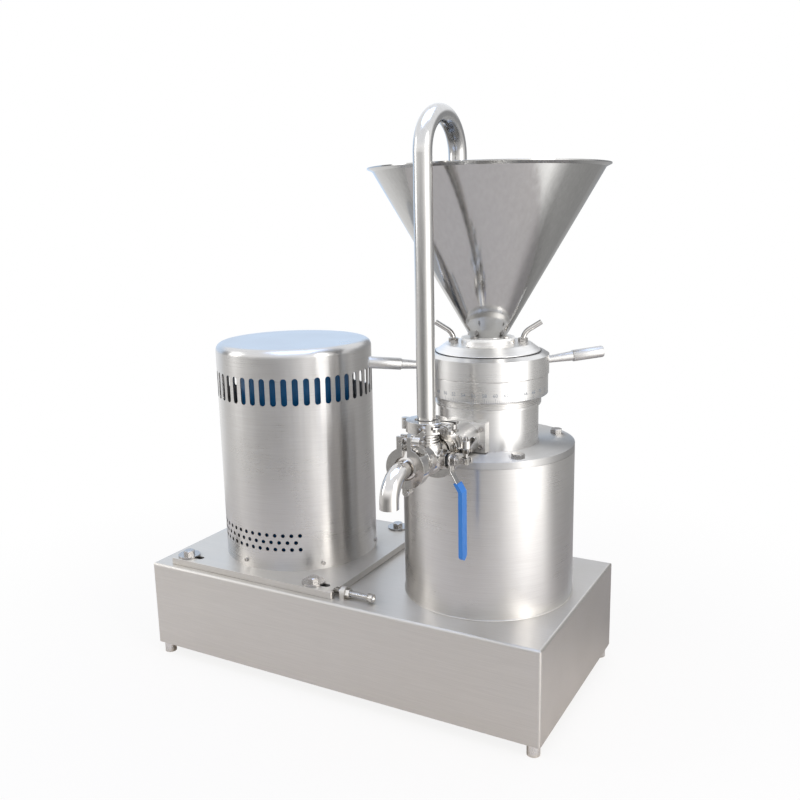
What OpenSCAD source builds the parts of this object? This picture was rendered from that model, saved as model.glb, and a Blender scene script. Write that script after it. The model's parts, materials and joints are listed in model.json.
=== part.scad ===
// Colloid mill with a belt drive, a fed grinding head and a recirculating outlet.
// Millimetres, +Z up. The origin is on the floor, under the centre of the base box.

/* [Base] */
// Length of the base box along X
base_l = 800; // [780:5:1000]
// Width of the base box along Y
base_w = 390; // [385:5:480]
// Height of the base box
base_h = 166; // [150:1:220]
// Sheet thickness of the base box
base_sheet = 3; // [2:0.5:4]
// Fold radius of the outer edges
base_edge_r = 4.5; // [4.5:0.5:8]
// Width of the lip that is folded in along the bottom
base_lip_w = 34; // [30:1:50]
// Diameter of a foot stub
foot_d = 22; // [18:1:26]
// Height of a foot stub
foot_h = 22; // [15:1:40]
// Distance from the short side of the base to a foot
foot_inset_x = 16; // [14:1:20]
// Distance from the long side of the base to a foot
foot_inset_y = 15; // [14:1:20]
// Diameter of the stud on a foot
foot_stud_d = 10; // [8:1:12]

/* [Layout] */
// Place of the mill axis along X
mill_x = 228; // [224:1:240]
// Place of the motor axis along X
motor_x = -178; // [-190:1:-174]

/* [Motor slide] */
// Length of the slide plate along X
plate_l = 372; // [364:1:380]
// Width of the slide plate along Y
plate_w = 362; // [350:1:370]
// Thickness of the slide plate
plate_t = 12; // [10:0.5:16]
// Thread of the plate bolts
plate_bolt_d = 12; // [10:1:14]
// Spacing of the plate bolts along X
plate_bolt_dx = 293; // [285:1:300]
// Spacing of the plate bolts along Y
plate_bolt_dy = 314; // [308:1:318]
// Shift of the bolt pattern from the motor axis
plate_bolt_shift = -14; // [-16:1:-6]
// Distance between the end centres of a plate slot
slot_run = 35; // [30:1:40]
// Distance from the first end centre of a slot to its bolt
slot_lead = 6; // [4:1:10]
// Outer diameter of a plate washer
washer_d = 42; // [34:1:44]
// Thickness of a plate washer
washer_t = 3; // [2:0.5:4]
// Thread of the jack screws
jack_d = 10; // [8:1:12]
// Distance of a jack screw from the centre line
jack_y = 162; // [158:1:166]
// Height of a jack screw above the base
jack_h = 9; // [8:0.5:10]
// Gap between the slide plate and the jack lug
jack_lug_gap = 12; // [8:1:16]
// Thickness of a jack lug
jack_lug_t = 9; // [6:1:12]
// Free length of a jack screw outside its lock nut
jack_free_l = 36; // [24:1:44]

/* [Motor cover] */
// Outer diameter of the cover
cover_d = 298; // [290:1:306]
// Height of the cover
cover_h = 414; // [400:1:440]
// Sheet thickness of the cover
cover_sheet = 2; // [1.5:0.5:3]
// Radius of the top edge
cover_edge_r = 14; // [8:1:20]
// Number of vent slots round the cover
vent_count = 46; // [30:1:50]
// Width of a vent slot
vent_w = 11; // [8:0.5:12]
// Height of a vent slot
vent_h = 50; // [40:1:60]
// Distance from the cover top to the slots
vent_drop = 50.5; // [40:0.5:60]
// Diameter of the small air holes
hole_d = 7.5; // [5:0.5:9]
// Angle between neighbouring air holes
hole_step = 6.1; // [5.5:0.1:8]
// Angle of the first air hole
hole_start = -56; // [-60:1:-50]
// Number of air holes in a row
hole_count = 27; // [10:1:30]
// Height of the lowest row of air holes
hole_row_z = 42; // [36:1:50]
// Distance between rows of air holes
hole_row_step = 13.5; // [12:0.5:16]
// Rows of air holes
hole_rows = 3; // [1:1:4]
// Thread of the cover screws
cover_screw_d = 5; // [4:1:6]
// Height of the cover screws above the plate
cover_screw_z = 12; // [9:1:14]
// Number of cover screws
cover_screw_count = 6; // [3:1:6]
// Angle of the first cover screw
cover_screw_start = 20; // [15:1:25]

/* [Motor] */
// Diameter over the cooling fins
motor_fin_d = 226; // [218:1:236]
// Diameter of the motor frame under its fins
motor_frame_d = 198; // [190:1:204]
// Bore of the motor frame
motor_bore_d = 176; // [170:1:180]
// Number of cooling fins
fin_count = 32; // [16:1:36]
// Thickness of a cooling fin
fin_t = 3; // [2:0.5:4]
// Diameter of the mounting flange
flange_d = 250; // [244:1:256]
// Thickness of the mounting flange
flange_t = 14; // [10:1:18]
// Bolt circle of the mounting flange
flange_pcd = 224; // [220:1:228]
// Diameter of the flange spigot
spigot_d = 180; // [170:1:184]
// Height of the lower end shield above its flange
bell_h = 32; // [26:1:40]
// Height of the motor frame
frame_h = 194; // [180:1:210]
// Height of the upper end shield
shield_h = 22; // [20:1:28]
// Height of the fan cowl
cowl_h = 104; // [90:1:110]
// Wall of the fan cowl
cowl_t = 2; // [1.5:0.5:3]
// Diameter of the motor shaft
motor_shaft_d = 30; // [26:1:32]
// Diameter of the rotor core of the motor
rotor_core_d = 114; // [106:1:120]
// Number of fan blades
fan_blades = 8; // [5:1:10]

/* [Belt drive] */
// Pitch diameter of the motor pulley
motor_pulley_d = 130; // [120:1:140]
// Pitch diameter of the mill pulley
mill_pulley_d = 104; // [96:1:120]
// Number of belts
belt_count = 2; // [1:1:3]
// Width over the back of a belt
belt_w = 17; // [13:1:17]
// Thickness of a belt
belt_t = 11; // [8:1:11]
// Height of the middle of the pulleys above the base bottom
pulley_h = 80; // [76:1:86]

/* [Drum] */
// Diameter of the mill drum
drum_d = 298; // [290:1:306]
// Height of the drum
drum_h = 259; // [250:1:280]
// Wall of the drum
drum_wall = 4; // [3:0.5:6]
// Thickness of the lid
lid_t = 12; // [10:1:16]
// Bolt circle of the lid
lid_pcd = 260; // [254:1:264]
// Thread of the lid bolts
lid_bolt_d = 12; // [10:1:14]

/* [Main shaft] */
// Bore of the main bearings
bearing_bore = 45; // [42:1:48]
// Outer diameter of the main bearings
bearing_od = 100; // [96:1:104]
// Width of the main bearings
bearing_w = 25; // [23:1:27]
// Number of balls in a bearing
ball_count = 8; // [6:1:9]
// Wall of the bearing housing
housing_wall = 14; // [10:1:18]
// Shaft diameter at the pulley
pulley_seat_d = 35; // [30:1:38]
// Shaft diameter at the seal
seal_d = 40; // [36:1:41]
// Shaft diameter at the rotor
rotor_seat_d = 30; // [26:1:32]

/* [Grinding head] */
// Diameter of the neck casing
neck_d = 173; // [170:1:178]
// Height of the neck up to its step
neck_h = 67; // [64:1:72]
// Diameter of the step under the scale ring
step_d = 180; // [179:1:186]
// Height of the step
step_h = 17.4; // [14:0.2:20]
// Bore of the neck casing
neck_bore = 148; // [144:1:150]
// Thickness of the chamber floor
floor_t = 8; // [7:0.5:9]
// Diameter of the adjusting thread
thread_d = 168; // [164:1:168]
// Diameter of the scale ring
scale_d = 204; // [198:1:210]
// Height of the scale ring
scale_h = 35; // [30:1:40]
// Diameter of the handle ring
ring_d = 207; // [200:1:212]
// Height of the straight part of the handle ring
ring_h = 32; // [30:1:36]
// Height of the bevel on top of the handle ring
ring_bevel = 5; // [3:1:6]
// Diameter of the top cover's rim
rim_d = 178; // [174:1:180]
// Height of the rim
rim_h = 14; // [12:1:16]
// Diameter of the flat top of the cover
top_d = 147; // [140:1:150]
// Height of the bevel of the cover
top_bevel_h = 11.6; // [8:0.2:14]
// Diameter of the feed collar
collar_d = 92; // [90:1:96]
// Height of the feed collar
collar_h = 6; // [4:1:8]
// Feed bore
throat_d = 50; // [44:1:54]
// Larger diameter of the toothed rotor
rotor_d = 124; // [118:1:128]
// Smaller diameter of the toothed rotor
rotor_top_d = 88; // [84:1:94]
// Height of the toothed cone
rotor_h = 62; // [56:1:64]
// Number of fine teeth
fine_teeth = 24; // [16:1:30]
// Number of coarse teeth
coarse_teeth = 12; // [8:1:14]
// Lean of the teeth
tooth_lean = 18; // [10:1:24]
// Width of a tooth gap
tooth_gap = 3; // [2:0.5:3.5]
// Grinding gap at rest
grind_gap = 0.5; // [0.4:0.1:1]

/* [Handles] */
// Plan angle of the right handle
handle_a = 38; // [30:1:45]
// Upward tilt of the handles
handle_tilt = 5.6; // [3:0.1:8]
// Thread of the handle studs
handle_stud_d = 10; // [8:1:12]
// Length of a handle grip
grip_l = 101; // [90:1:110]
// Largest diameter of a grip
grip_d = 20; // [16:1:22]
// Diameter of the grip at the ring end
grip_neck_d = 12; // [11:1:14]
// Clear length of the stud between ring and grip
stud_free = 14; // [10:1:18]

/* [Water nipples] */
// Outer diameter of a nipple
nipple_d = 9; // [7:0.5:10]
// Bore of a nipple
nipple_bore = 6; // [4:0.5:6.5]
// Distance of a nipple from the mill axis
nipple_r = 59; // [57:1:61]
// Plan angle of the first nipple
nipple_a = 20; // [10:1:30]
// Bend of a nipple
nipple_bend = 58; // [40:1:70]
// Bend radius of a nipple
nipple_bend_r = 22; // [18:1:26]
// Straight end of a nipple
nipple_end = 24; // [20:1:32]

/* [Hopper] */
// Height of the hopper above its flange
hopper_h = 285; // [260:1:300]
// Radius of the cone at the flange
cone_r0 = 30; // [28:1:31]
// Radius of the cone under the lip
cone_r1 = 190; // [180:1:191]
// Outer radius of the lip
lip_r = 198.5; // [196:0.5:200]
// Height of the lip
lip_h = 6; // [4:1:9]
// Sheet thickness of the hopper
hopper_t = 2; // [1.5:0.5:3]
// Diameter of the hopper flange
hopper_flange_d = 90; // [89:1:92]
// Thickness of the hopper flange
hopper_flange_t = 4; // [3:1:6]
// Bolt circle of the hopper flange
hopper_pcd = 77; // [77:0.5:78]
// Thread of the hopper bolts
hopper_bolt_d = 6; // [5:1:6]

/* [Outlet] */
// Height of the outlet axis above the lid
outlet_h = 27; // [26:0.5:30]
// Width of the outlet block
block_w = 72; // [70:1:78]
// Height of the outlet block
block_h = 50; // [48:1:50]
// Reach of the block in front of the neck
block_reach = 8; // [6:1:12]
// Spacing of the block screws along X
block_screw_dx = 56.8; // [56:0.2:60]
// Spacing of the block screws along Z
block_screw_dz = 29.4; // [28:0.2:32]
// Thread of the block screws
block_screw_d = 6; // [5:1:6]
// Bore of the outlet
outlet_bore = 36; // [30:1:36]
// Outer diameter of the wide outlet tube
wide_tube_d = 51; // [48:1:53]
// Wall of the tubes
tube_wall = 1.6; // [1.2:0.1:2]
// Outer diameter of the wide ferrules
wide_ferrule_d = 64; // [64:0.5:66]
// Outer diameter of the pipe
pipe_d = 28; // [25:0.5:29]
// Outer diameter of the pipe ferrules
ferrule_d = 50.5; // [50.5:0.5:53]
// Distance from the mill axis to the wide clamp
wide_clamp_y = 198; // [196:1:204]
// Distance from the mill axis to the valve
valve_y = 232; // [230:1:240]
// Distance from the valve to the spout clamp
spout_run = 62; // [58:1:70]
// Distance from the valve to the return clamp
return_run = 50; // [50:1:58]
// Bend radius of the spout
spout_bend_r = 38; // [34:1:46]
// Straight pipe between the spout ferrule and its bend
spout_lead = 17; // [12:1:24]
// Straight end of the spout
spout_tail = 8; // [6:1:20]
// Height of the return bend's axis above the valve
return_rise = 445; // [420:1:460]
// Bend radius of the return pipe
return_bend_r = 58; // [50:1:64]
// Length of the leg that hangs into the hopper
return_leg = 80; // [40:1:100]
// Thickness of a clamp gasket
gasket_t = 2; // [1.5:0.5:3]

/* [Clamps] */
// Ring wall of a clamp outside the ferrule
clamp_wall = 6; // [5:0.5:8]
// Axial width of a clamp
clamp_w = 17; // [16:0.5:20]
// Gap between the closure lugs
lug_gap = 8; // [7:0.5:9]
// Thickness of a closure lug
lug_t = 7; // [6:0.5:8]
// Height of a closure lug above the ring
lug_h = 16; // [15:0.5:18]
// Diameter of a swing bolt
swing_d = 7; // [6:0.5:8]
// Diameter of a clamp pin
pin_d = 4.5; // [4:0.5:5]

/* [Valve] */
// Diameter of the valve ball
ball_d = 40; // [38:1:42]
// Bore of the valve
valve_bore = 25; // [22:0.5:25]
// Wall of the valve body round the ball
valve_wall = 7; // [6:0.5:9]
// Diameter of the valve stem
stem_d = 12; // [10:1:13]
// Width across flats of the gland
gland_af = 26; // [24:1:28]
// Distance from the valve axis to the lever
lever_x = 39; // [38:1:44]
// Thickness of the lever
lever_t = 3; // [2.5:0.5:4]
// Width of the lever
lever_w = 13; // [11:1:15]
// Reach of the lever below the stem
lever_l = 154; // [140:1:170]
// Outward step of the lever
lever_out = 18; // [12:1:22]
// Height over which the lever steps outward
lever_slant_h = 30; // [24:1:36]
// Straight height of the lever below the stem
lever_root_h = 17; // [15:1:20]
// Thickness of the lever sleeve's wall
sleeve_wall = 1.8; // [1.2:0.1:2.2]
// Length of lever left bare above the sleeve
sleeve_start = 34; // [30:1:38]

/* [Fits] */
// Gap between parts that slide or turn past each other
run_gap = 0.3; // [0.2:0.05:0.5]
// Gap between parts that are fitted together
fit_gap = 0.1; // [0.05:0.05:0.15]

/* [Hidden] */
$fn = 64;

// Overshoot of a cutting shape past the face that it cuts
cut = 1;
// Proportions of hex heads, nuts and socket heads to their thread
head_af = 1.58;
head_h = 0.65;
head_face = 0.95;
nut_h = 0.8;
socket_head_d = 1.5;
socket_af = 0.8;
hex_to_corner = 1 / cos(30);

// Heights of the main faces above the floor
z_base = foot_h;
z_deck = z_base + base_h;
z_plate = z_deck + run_gap;
z_plate_top = z_plate + plate_t;
z_cover = z_plate_top;
z_cover_top = z_cover + cover_h;
z_lid = z_deck + drum_h;
z_head = z_lid + lid_t;
z_step = z_head + neck_h;
z_scale = z_step + step_h;
z_ring = z_scale + scale_h + run_gap;
z_ring_top = z_ring + ring_h + ring_bevel;
z_rim = z_ring_top + cut + cut - rim_h;
z_rim_top = z_rim + rim_h;
z_top = z_rim_top + top_bevel_h;
z_collar = z_top + collar_h;
z_hopper = z_collar;
z_cone = z_hopper + hopper_flange_t;
z_hopper_top = z_hopper + hopper_h;
z_outlet = z_head + outlet_h;

// Motor, from its flange upwards
z_bell = z_plate_top + flange_t;
z_frame = z_bell + bell_h;
z_shield = z_frame + frame_h;
z_cowl = z_shield + shield_h;
motor_bearing_d = motor_shaft_d * 2 + 2;
motor_bearing_w = 16;
motor_hub_wall = 8;
core_h = frame_h * 0.7;
z_core = z_frame + (frame_h - core_h) / 2;
coil_h = 16;
coil_in = 5;
air_gap = 0.8;
cowl_d = motor_fin_d - 6;
cowl_hole_d = 12;
cowl_hole_rings = 3;
fan_clear = 12;
fan_h = 40;
fan_hub_d = motor_shaft_d + 24;
fan_d = cowl_d - 2 * cowl_t - 2 * fan_clear;
fan_blade_t = 3;
box_reach = 26;
box_w = 66;
box_h = 90;
flange_bolt_d = 10;
flange_bolt_count = 4;
cover_r = cover_d / 2;
cover_in_r = cover_r - cover_sheet;
tab_t = 5;
tab_w = 20;
tab_h = cover_screw_z + 2 * cover_screw_d;

// Belt drive
belt_flank = 19;
belt_over_pitch = 3.5;
belt_edge = 0.4;
belt_step = belt_w + 2;
pulley_edge = 12.5;
pulley_w = 2 * pulley_edge + (belt_count - 1) * belt_step;
z_pulley = z_base + pulley_h;
belt_foot_w = belt_w - 2 * belt_t * tan(belt_flank);

// Main shaft and its bearings
housing_h = 215;
housing_flange_w = 30;
housing_flange_t = 12;
housing_lip = 14;
z_housing = z_lid - housing_h;
z_bearing_low = z_housing + housing_lip;
z_bearing_high = z_lid - housing_lip - bearing_w - housing_flange_t;
bearing_shoulder = 6;
ball_pitch_r = (bearing_bore + bearing_od) / 4;
ring_band = (bearing_od - bearing_bore) / 2;
bearing_ball_r = ring_band * 0.31;
race_r = bearing_ball_r + run_gap;
race_half = ring_band * 0.24;
housing_d = bearing_od + 2 * housing_wall;
shaft_nut_af = pulley_seat_d + 15;
shaft_nut_h = 12;
z_shaft = z_pulley - pulley_w / 2 - shaft_nut_h - 4;
shaft_hole_d = housing_d + 24;
drum_ring_w = 34;
drum_ring_t = 15;
drum_foot_w = 30;
drum_foot_t = 8;
lid_hole_d = seal_d + 40;

// Grinding head
z_floor = z_head + floor_t;
seal_wall = 8;
seal_lift = 3;
z_seal = z_floor + seal_lift + run_gap;
z_rotor_hub = z_seal + 18;
hub_below = 3;
z_rotor_disc = z_rotor_hub + hub_below;
disc_t = 10;
disc_d = neck_bore - 14;
z_cone_teeth = z_rotor_disc + disc_t;
z_rotor_top = z_cone_teeth + rotor_h;
vane_count = 6;
vane_h = 12;
vane_t = 6;
cone_lean = atan((rotor_d - rotor_top_d) / 2 / rotor_h);
tooth_depth = 4;
spigot_drop = 27;
z_stator_top = z_rim - spigot_drop;
stator_wall_d = neck_bore - 2 * run_gap;
stator_screw_d = 6;
stator_screw_pcd = neck_bore - 20;
stator_screw_count = 4;
rotor_nut_d = rotor_seat_d + 16;
rotor_nut_h = 22;
chamber_d = rotor_top_d + 4;
z_casing_top = z_rim - 4;
ring_in_d = thread_d + 2 * run_gap;
stud_depth = 11;
handle_r = ring_d / 2;
handle_z = z_ring + ring_h / 2 - handle_r * tan(handle_tilt);
grip_taper = 0.45;
screw_turn = 45;

// Outlet and piping
block_y = neck_d / 2 + block_reach;
block_screw_l = block_y - sqrt(pow(neck_bore, 2) - pow(block_screw_dx, 2)) / 2 - 2;
pipe_in_d = pipe_d - 2 * tube_wall;
ferrule_t = 2;
ferrule_flank = 20;
ferrule_tail = 8;
clamp_r = ferrule_d / 2 + clamp_wall;
wide_clamp_r = wide_ferrule_d / 2 + clamp_wall + 2;
swing_out = 9;
pivot_in = 8;
eye_d = 11;
nut_hub_d = 16;
nut_hub_h = 12;
nut_wing_r = 16.5;
nut_wing_t = 5;
nut_wing_rise = 7;
swing_tail = lug_gap / 2 + lug_t + nut_hub_h + 5;
knuckle_d = 10;
knuckle_out = 5.5;
knuckle_w = 8;
lug_slot = swing_d + 1.4;
spout_y = valve_y + spout_run;
z_return = z_outlet + return_run;
valve_r = ball_d / 2 + valve_wall;
gland_h = 9;
boss_d = 30;
boss_x = lever_x - gland_h - 3;
lever_hub_d = 20;
lever_nut_af = 16;
lever_nut_h = 8;
cap_af = 46;
cap_y = 33;
ridge_count = 4;
ridge_step = 4;
vent_slant = 90;

// A hexagon whose upper corners are turned off by a cone.
module hex_head(af, h) {
  face_r = af * head_face / 2;
  reach = af * (hex_to_corner - head_face);
  intersection() {
    cylinder(d = af * hex_to_corner, h = h, $fn = 6);
    rotate_extrude() polygon([
      [0, -cut], [face_r + reach, -cut], [face_r + reach, h - reach * tan(30)], [face_r, h], [0, h]
    ]);
  }
}

// A straight bolt with a hexagonal head that sits on the XY plane.
module hex_bolt(d, l) {
  hex_head(head_af * d, head_h * d);
  translate([0, 0, -l]) cylinder(d = d, h = l + cut);
}

// A hexagonal nut that sits on the XY plane.
module hex_nut(d, af, h) {
  difference() {
    hex_head(af, h);
    translate([0, 0, -cut]) cylinder(d = d + 2 * fit_gap, h = h + 2 * cut);
  }
}

// A socket screw whose head sits on the XY plane.
module socket_screw(d, l, head) {
  difference() {
    union() {
      cylinder(d = socket_head_d * d, h = head);
      translate([0, 0, -l]) cylinder(d = d, h = l + cut);
    }
    translate([0, 0, head / 2]) cylinder(d = socket_af * d * hex_to_corner, h = head, $fn = 6);
  }
}

// A tube that stands on the XY plane.
module tube(od, id, h) {
  difference() {
    cylinder(d = od, h = h);
    translate([0, 0, -cut]) cylinder(d = id, h = h + 2 * cut);
  }
}

// A round hole along Z that passes well through a wall.
module bore(d, z0, z1) {
  translate([0, 0, z0 - cut]) cylinder(d = d, h = z1 - z0 + 2 * cut);
}

// A rectangle with round corners, centred.
module round_rect(l, w, r) {
  square([l - 2 * r, w], center = true);
  square([l, w - 2 * r], center = true);
  for (x = [-1, 1], y = [-1, 1])
    translate([x * (l / 2 - r), y * (w / 2 - r)]) circle(r);
}

// A slot along X from the origin.
module slot(run, w) {
  circle(d = w);
  translate([run, 0]) circle(d = w);
  translate([0, -w / 2]) square([run, w]);
}

// A box with rounded sides and a rounded top, standing on the XY plane.
module soft_box(l, w, h, r) {
  intersection() {
    linear_extrude(h) round_rect(l, w, r);
    translate([0, w / 2, 0]) rotate([90, 0, 0]) linear_extrude(w) soft_top(l, h, r);
    translate([-l / 2, 0, 0]) rotate([90, 0, 90]) linear_extrude(l) soft_top(w, h, r);
  }
}

// The side outline of a box whose two upper corners are round.
module soft_top(l, h, r) {
  translate([-l / 2, 0]) square([l, h - r]);
  translate([r - l / 2, 0]) square([l - 2 * r, h]);
  for (x = [-1, 1])
    translate([x * (l / 2 - r), h - r]) circle(r);
}

// Places the children at the corners of a rectangle.
module corners(dx, dy) {
  for (x = [-1, 1], y = [-1, 1])
    translate([x * dx / 2, y * dy / 2, 0]) children();
}

// Places the children on a circle.
module around(count, start = 0) {
  for (i = [0 : count - 1])
    rotate(start + i * 360 / count) children();
}

module at_mill() {
  translate([mill_x, 0, 0]) children();
}

module at_motor() {
  translate([motor_x, 0, 0]) children();
}

// The folded base box, open below, with its jack lugs and weld nuts.
module base_shell() {
  color("#b9afa8") difference() {
    union() {
      difference() {
        translate([0, 0, z_base]) soft_box(base_l, base_w, base_h, base_edge_r);
        translate([0, 0, z_base + base_sheet]) soft_box(
          base_l - 2 * base_sheet, base_w - 2 * base_sheet,
          base_h - 2 * base_sheet, base_edge_r - base_sheet
        );
        translate([0, 0, z_base - cut]) linear_extrude(base_sheet + 2 * cut)
          square([base_l - 2 * base_lip_w, base_w - 2 * base_lip_w], center = true);
      }
      at_plate_bolts() translate([0, 0, z_deck - base_sheet - plate_bolt_d])
        cylinder(d = head_af * plate_bolt_d * hex_to_corner, h = plate_bolt_d + cut, $fn = 6);
      for (y = [-1, 1])
        translate([jack_lug_x(), y * jack_y, z_deck]) jack_lug();
    }
    at_mill() bore(shaft_hole_d, z_deck - base_sheet, z_deck);
    at_motor() translate([-spigot_d / 6, 0, z_deck - base_sheet - cut])
      linear_extrude(base_sheet + 2 * cut) slot(spigot_d / 3, spigot_d / 2);
    at_plate_bolts() bore(plate_bolt_d + 2 * fit_gap, z_deck - base_sheet - plate_bolt_d, z_deck);
    at_feet() bore(foot_stud_d + 2 * fit_gap, z_base, z_base + base_sheet);
  }
}

function jack_lug_x() = motor_x + plate_l / 2 + jack_lug_gap;

module at_plate_bolts() {
  translate([motor_x + plate_bolt_shift, 0, 0]) corners(plate_bolt_dx, plate_bolt_dy) children();
}

module at_feet() {
  corners(base_l - 2 * foot_inset_x, base_w - 2 * foot_inset_y) children();
}

// A round-topped lug with the jack screw's hole.
module jack_lug() {
  lug_r = jack_d + 1;
  rotate([90, 0, 90]) linear_extrude(jack_lug_t) difference() {
    union() {
      translate([0, jack_h]) circle(lug_r);
      translate([-lug_r, -cut]) square([2 * lug_r, jack_h + cut]);
    }
    translate([0, jack_h]) circle(d = jack_d + 2 * fit_gap);
    translate([-2 * lug_r, -2 * lug_r - cut]) square([4 * lug_r, 2 * lug_r]);
  }
}

// Four round stubs with an eased lower edge and a stud through the base lip.
module base_feet() {
  color("#c8c8c6") at_feet() {
    cylinder(d = foot_d, h = foot_h);
    translate([0, 0, foot_h - cut]) cylinder(d = foot_stud_d, h = base_sheet + foot_stud_d + cut);
  }
}

// The plate that carries the motor and slides to tension the belts.
module motor_plate() {
  color("#a0b0c4") difference() {
    union() {
      translate([motor_x, 0, z_plate]) linear_extrude(plate_t) difference() {
        round_rect(plate_l, plate_w, jack_d / 2);
        circle(d = spigot_d + 2 * fit_gap);
        translate([plate_bolt_shift - slot_lead, 0]) corners(plate_bolt_dx, plate_bolt_dy)
          slot(slot_run, plate_bolt_d + 1);
        for (y = [-1, 1])
          translate([plate_l / 2 - jack_d / 2, y * jack_y - jack_d]) square([jack_d, 2 * jack_d]);
        around(flange_bolt_count, screw_turn) translate([flange_pcd / 2, 0])
          circle(d = flange_bolt_d + 2 * fit_gap);
      }
      at_motor() around(cover_screw_count, cover_screw_start)
        translate([cover_in_r - tab_t - 2 * fit_gap - tab_sag(), -tab_w / 2, z_plate_top - cut])
          cube([tab_t, tab_w, tab_h + cut]);
    }
    at_cover_screws() translate([0, 0, -cover_sheet - tab_t - 2 * cut])
      cylinder(d = cover_screw_d + 2 * fit_gap, h = tab_t + 2 * cut);
  }
}

// How far the edges of a flat tab reach past its middle in the round cover.
function tab_sag() = cover_in_r - sqrt(cover_in_r * cover_in_r - tab_w * tab_w / 4);

// Frames on the cover's outer face, with +Z pointing outwards.
module at_cover_screws() {
  at_motor() around(cover_screw_count, cover_screw_start)
    translate([cover_r, 0, z_cover + cover_screw_z]) rotate([0, 90, 0]) children();
}

// Four bolts with their large washers, screwed into the base.
module motor_plate_bolts() {
  z_washer = z_plate_top + run_gap;
  color("#d0d0ce") at_plate_bolts() {
    translate([0, 0, z_washer]) tube(washer_d, plate_bolt_d + 2 * fit_gap, washer_t);
    translate([0, 0, z_washer + washer_t + fit_gap])
      hex_bolt(plate_bolt_d, washer_t + plate_t + base_sheet + plate_bolt_d);
  }
}

// The two screws that push the slide plate away from the mill.
module jack_screws() {
  tip_x = motor_x + plate_l / 2 - jack_d / 2 + fit_gap;
  end_x = jack_lug_x() + jack_lug_t + nut_h * jack_d + jack_free_l;
  color("#d0d0ce") for (y = [-1, 1])
    translate([end_x, y * jack_y, z_deck + jack_h]) rotate([0, 90, 0])
      socket_screw(jack_d, end_x - tip_x, jack_d);
}

// Lock nuts against the jack lugs.
module jack_nuts() {
  color("#d0d0ce") for (y = [-1, 1])
    translate([jack_lug_x() + jack_lug_t, y * jack_y, z_deck + jack_h]) rotate([0, 90, 0])
      rotate(30) hex_nut(jack_d, jack_d * head_af, nut_h * jack_d);
}

// The round sheet cover of the motor with its vents.
module motor_cover() {
  color("#c9c7c4") difference() {
    at_motor() translate([0, 0, z_cover]) rotate_extrude() difference() {
      cover_half(cover_r, cover_h, cover_edge_r);
      translate([0, -cut]) cover_half(cover_in_r, cover_h - cover_sheet + cut, cover_edge_r - cover_sheet);
    }
    at_motor() translate([0, 0, z_cover_top - vent_drop]) around(vent_count)
      translate([cover_in_r - cut, 0, -vent_w / 2]) rotate([0, vent_slant, 0])
        linear_extrude(cover_sheet + 2 * cut) slot(vent_h - vent_w, vent_w);
    at_motor() for (row = [0 : hole_rows - 1], i = [0 : hole_count - 1])
      rotate(hole_start - hole_step * (i + (row % 2) / 2))
        translate([cover_in_r - cut, 0, z_cover + hole_row_z + row * hole_row_step])
          rotate([0, 90, 0]) cylinder(d = hole_d, h = cover_sheet + 2 * cut);
    at_cover_screws() translate([0, 0, -cover_sheet - cut])
      cylinder(d = cover_screw_d + 2 * fit_gap, h = cover_sheet + 2 * cut);
  }
}

// Half the section of a can with a round top edge.
module cover_half(r, h, edge) {
  square([r, h - edge]);
  square([r - edge, h]);
  intersection() {
    translate([r - edge, h - edge]) circle(edge);
    square([r, h]);
  }
}

// Screws that hold the cover to the plate's tabs.
module cover_screws() {
  sag = cover_r - sqrt(cover_r * cover_r - pow(socket_head_d * cover_screw_d / 2, 2));
  color("#d0d0ce") at_cover_screws() translate([0, 0, fit_gap])
    socket_screw(cover_screw_d, cover_sheet + tab_t + sag + 2 * fit_gap, cover_screw_d * head_h);
}

// The finned motor frame and the terminal box on its side.
module motor_frame() {
  color("#146eaa") at_motor() {
    difference() {
      union() {
        translate([0, 0, z_frame]) cylinder(d = motor_frame_d, h = frame_h);
        around(fin_count, 180 / fin_count)
          translate([0, -fin_t / 2, z_frame + fin_t]) cube([motor_fin_d / 2, fin_t, frame_h - 2 * fin_t]);
      }
      bore(motor_bore_d, z_frame, z_frame + frame_h);
      rotate(90) translate([motor_frame_d / 2 + fit_gap, -box_w / 2 - 1, z_frame + box_h / 2])
        cube([box_reach, box_w + 2, box_h + 2]);
    }
    rotate(90) translate([motor_frame_d / 2 + 2 * fit_gap, -box_w / 2, z_frame + box_h / 2 + 1])
      cube([box_reach, box_w, box_h]);
  }
}

// The flanged lower shield and the upper shield, each with its bearing seat.
module motor_end_shields() {
  seat_r = motor_bearing_d / 2 + fit_gap;
  hub_r = seat_r + motor_hub_wall;
  color("#146eaa") at_motor() {
    difference() {
      rotate_extrude() difference() {
        union() {
          translate([0, z_plate]) square([spigot_d / 2, plate_t + flange_t]);
          translate([0, z_plate_top]) square([flange_d / 2, flange_t]);
          translate([0, z_bell - cut]) square([motor_frame_d / 2, bell_h + cut]);
        }
        translate([hub_r, z_bell]) square([motor_bore_d / 2 - hub_r, bell_h + cut]);
        translate([0, z_plate - cut])
          square([motor_shaft_d / 2 + cut, z_frame - z_plate + 2 * cut]);
        translate([0, z_bell + bell_h - motor_bearing_w]) square([seat_r, motor_bearing_w + cut]);
      }
      around(flange_bolt_count, screw_turn) translate([flange_pcd / 2, 0, 0])
        bore(flange_bolt_d + 2 * fit_gap, z_plate_top, z_bell);
    }
    rotate_extrude() difference() {
      union() {
        translate([0, z_shield]) square([motor_frame_d / 2, shield_h / 2]);
        translate([0, z_shield]) square([hub_r, shield_h]);
      }
      translate([0, z_shield - cut]) square([motor_shaft_d / 2 + cut, shield_h + 2 * cut]);
      translate([0, z_shield - cut]) square([seat_r, motor_bearing_w + cut]);
    }
  }
}

// Bolts that hold the motor flange to the slide plate.
module motor_flange_bolts() {
  color("#d0d0ce") at_motor() around(flange_bolt_count, screw_turn)
    translate([flange_pcd / 2, 0, z_bell]) hex_bolt(flange_bolt_d, flange_t + plate_t);
}

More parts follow.
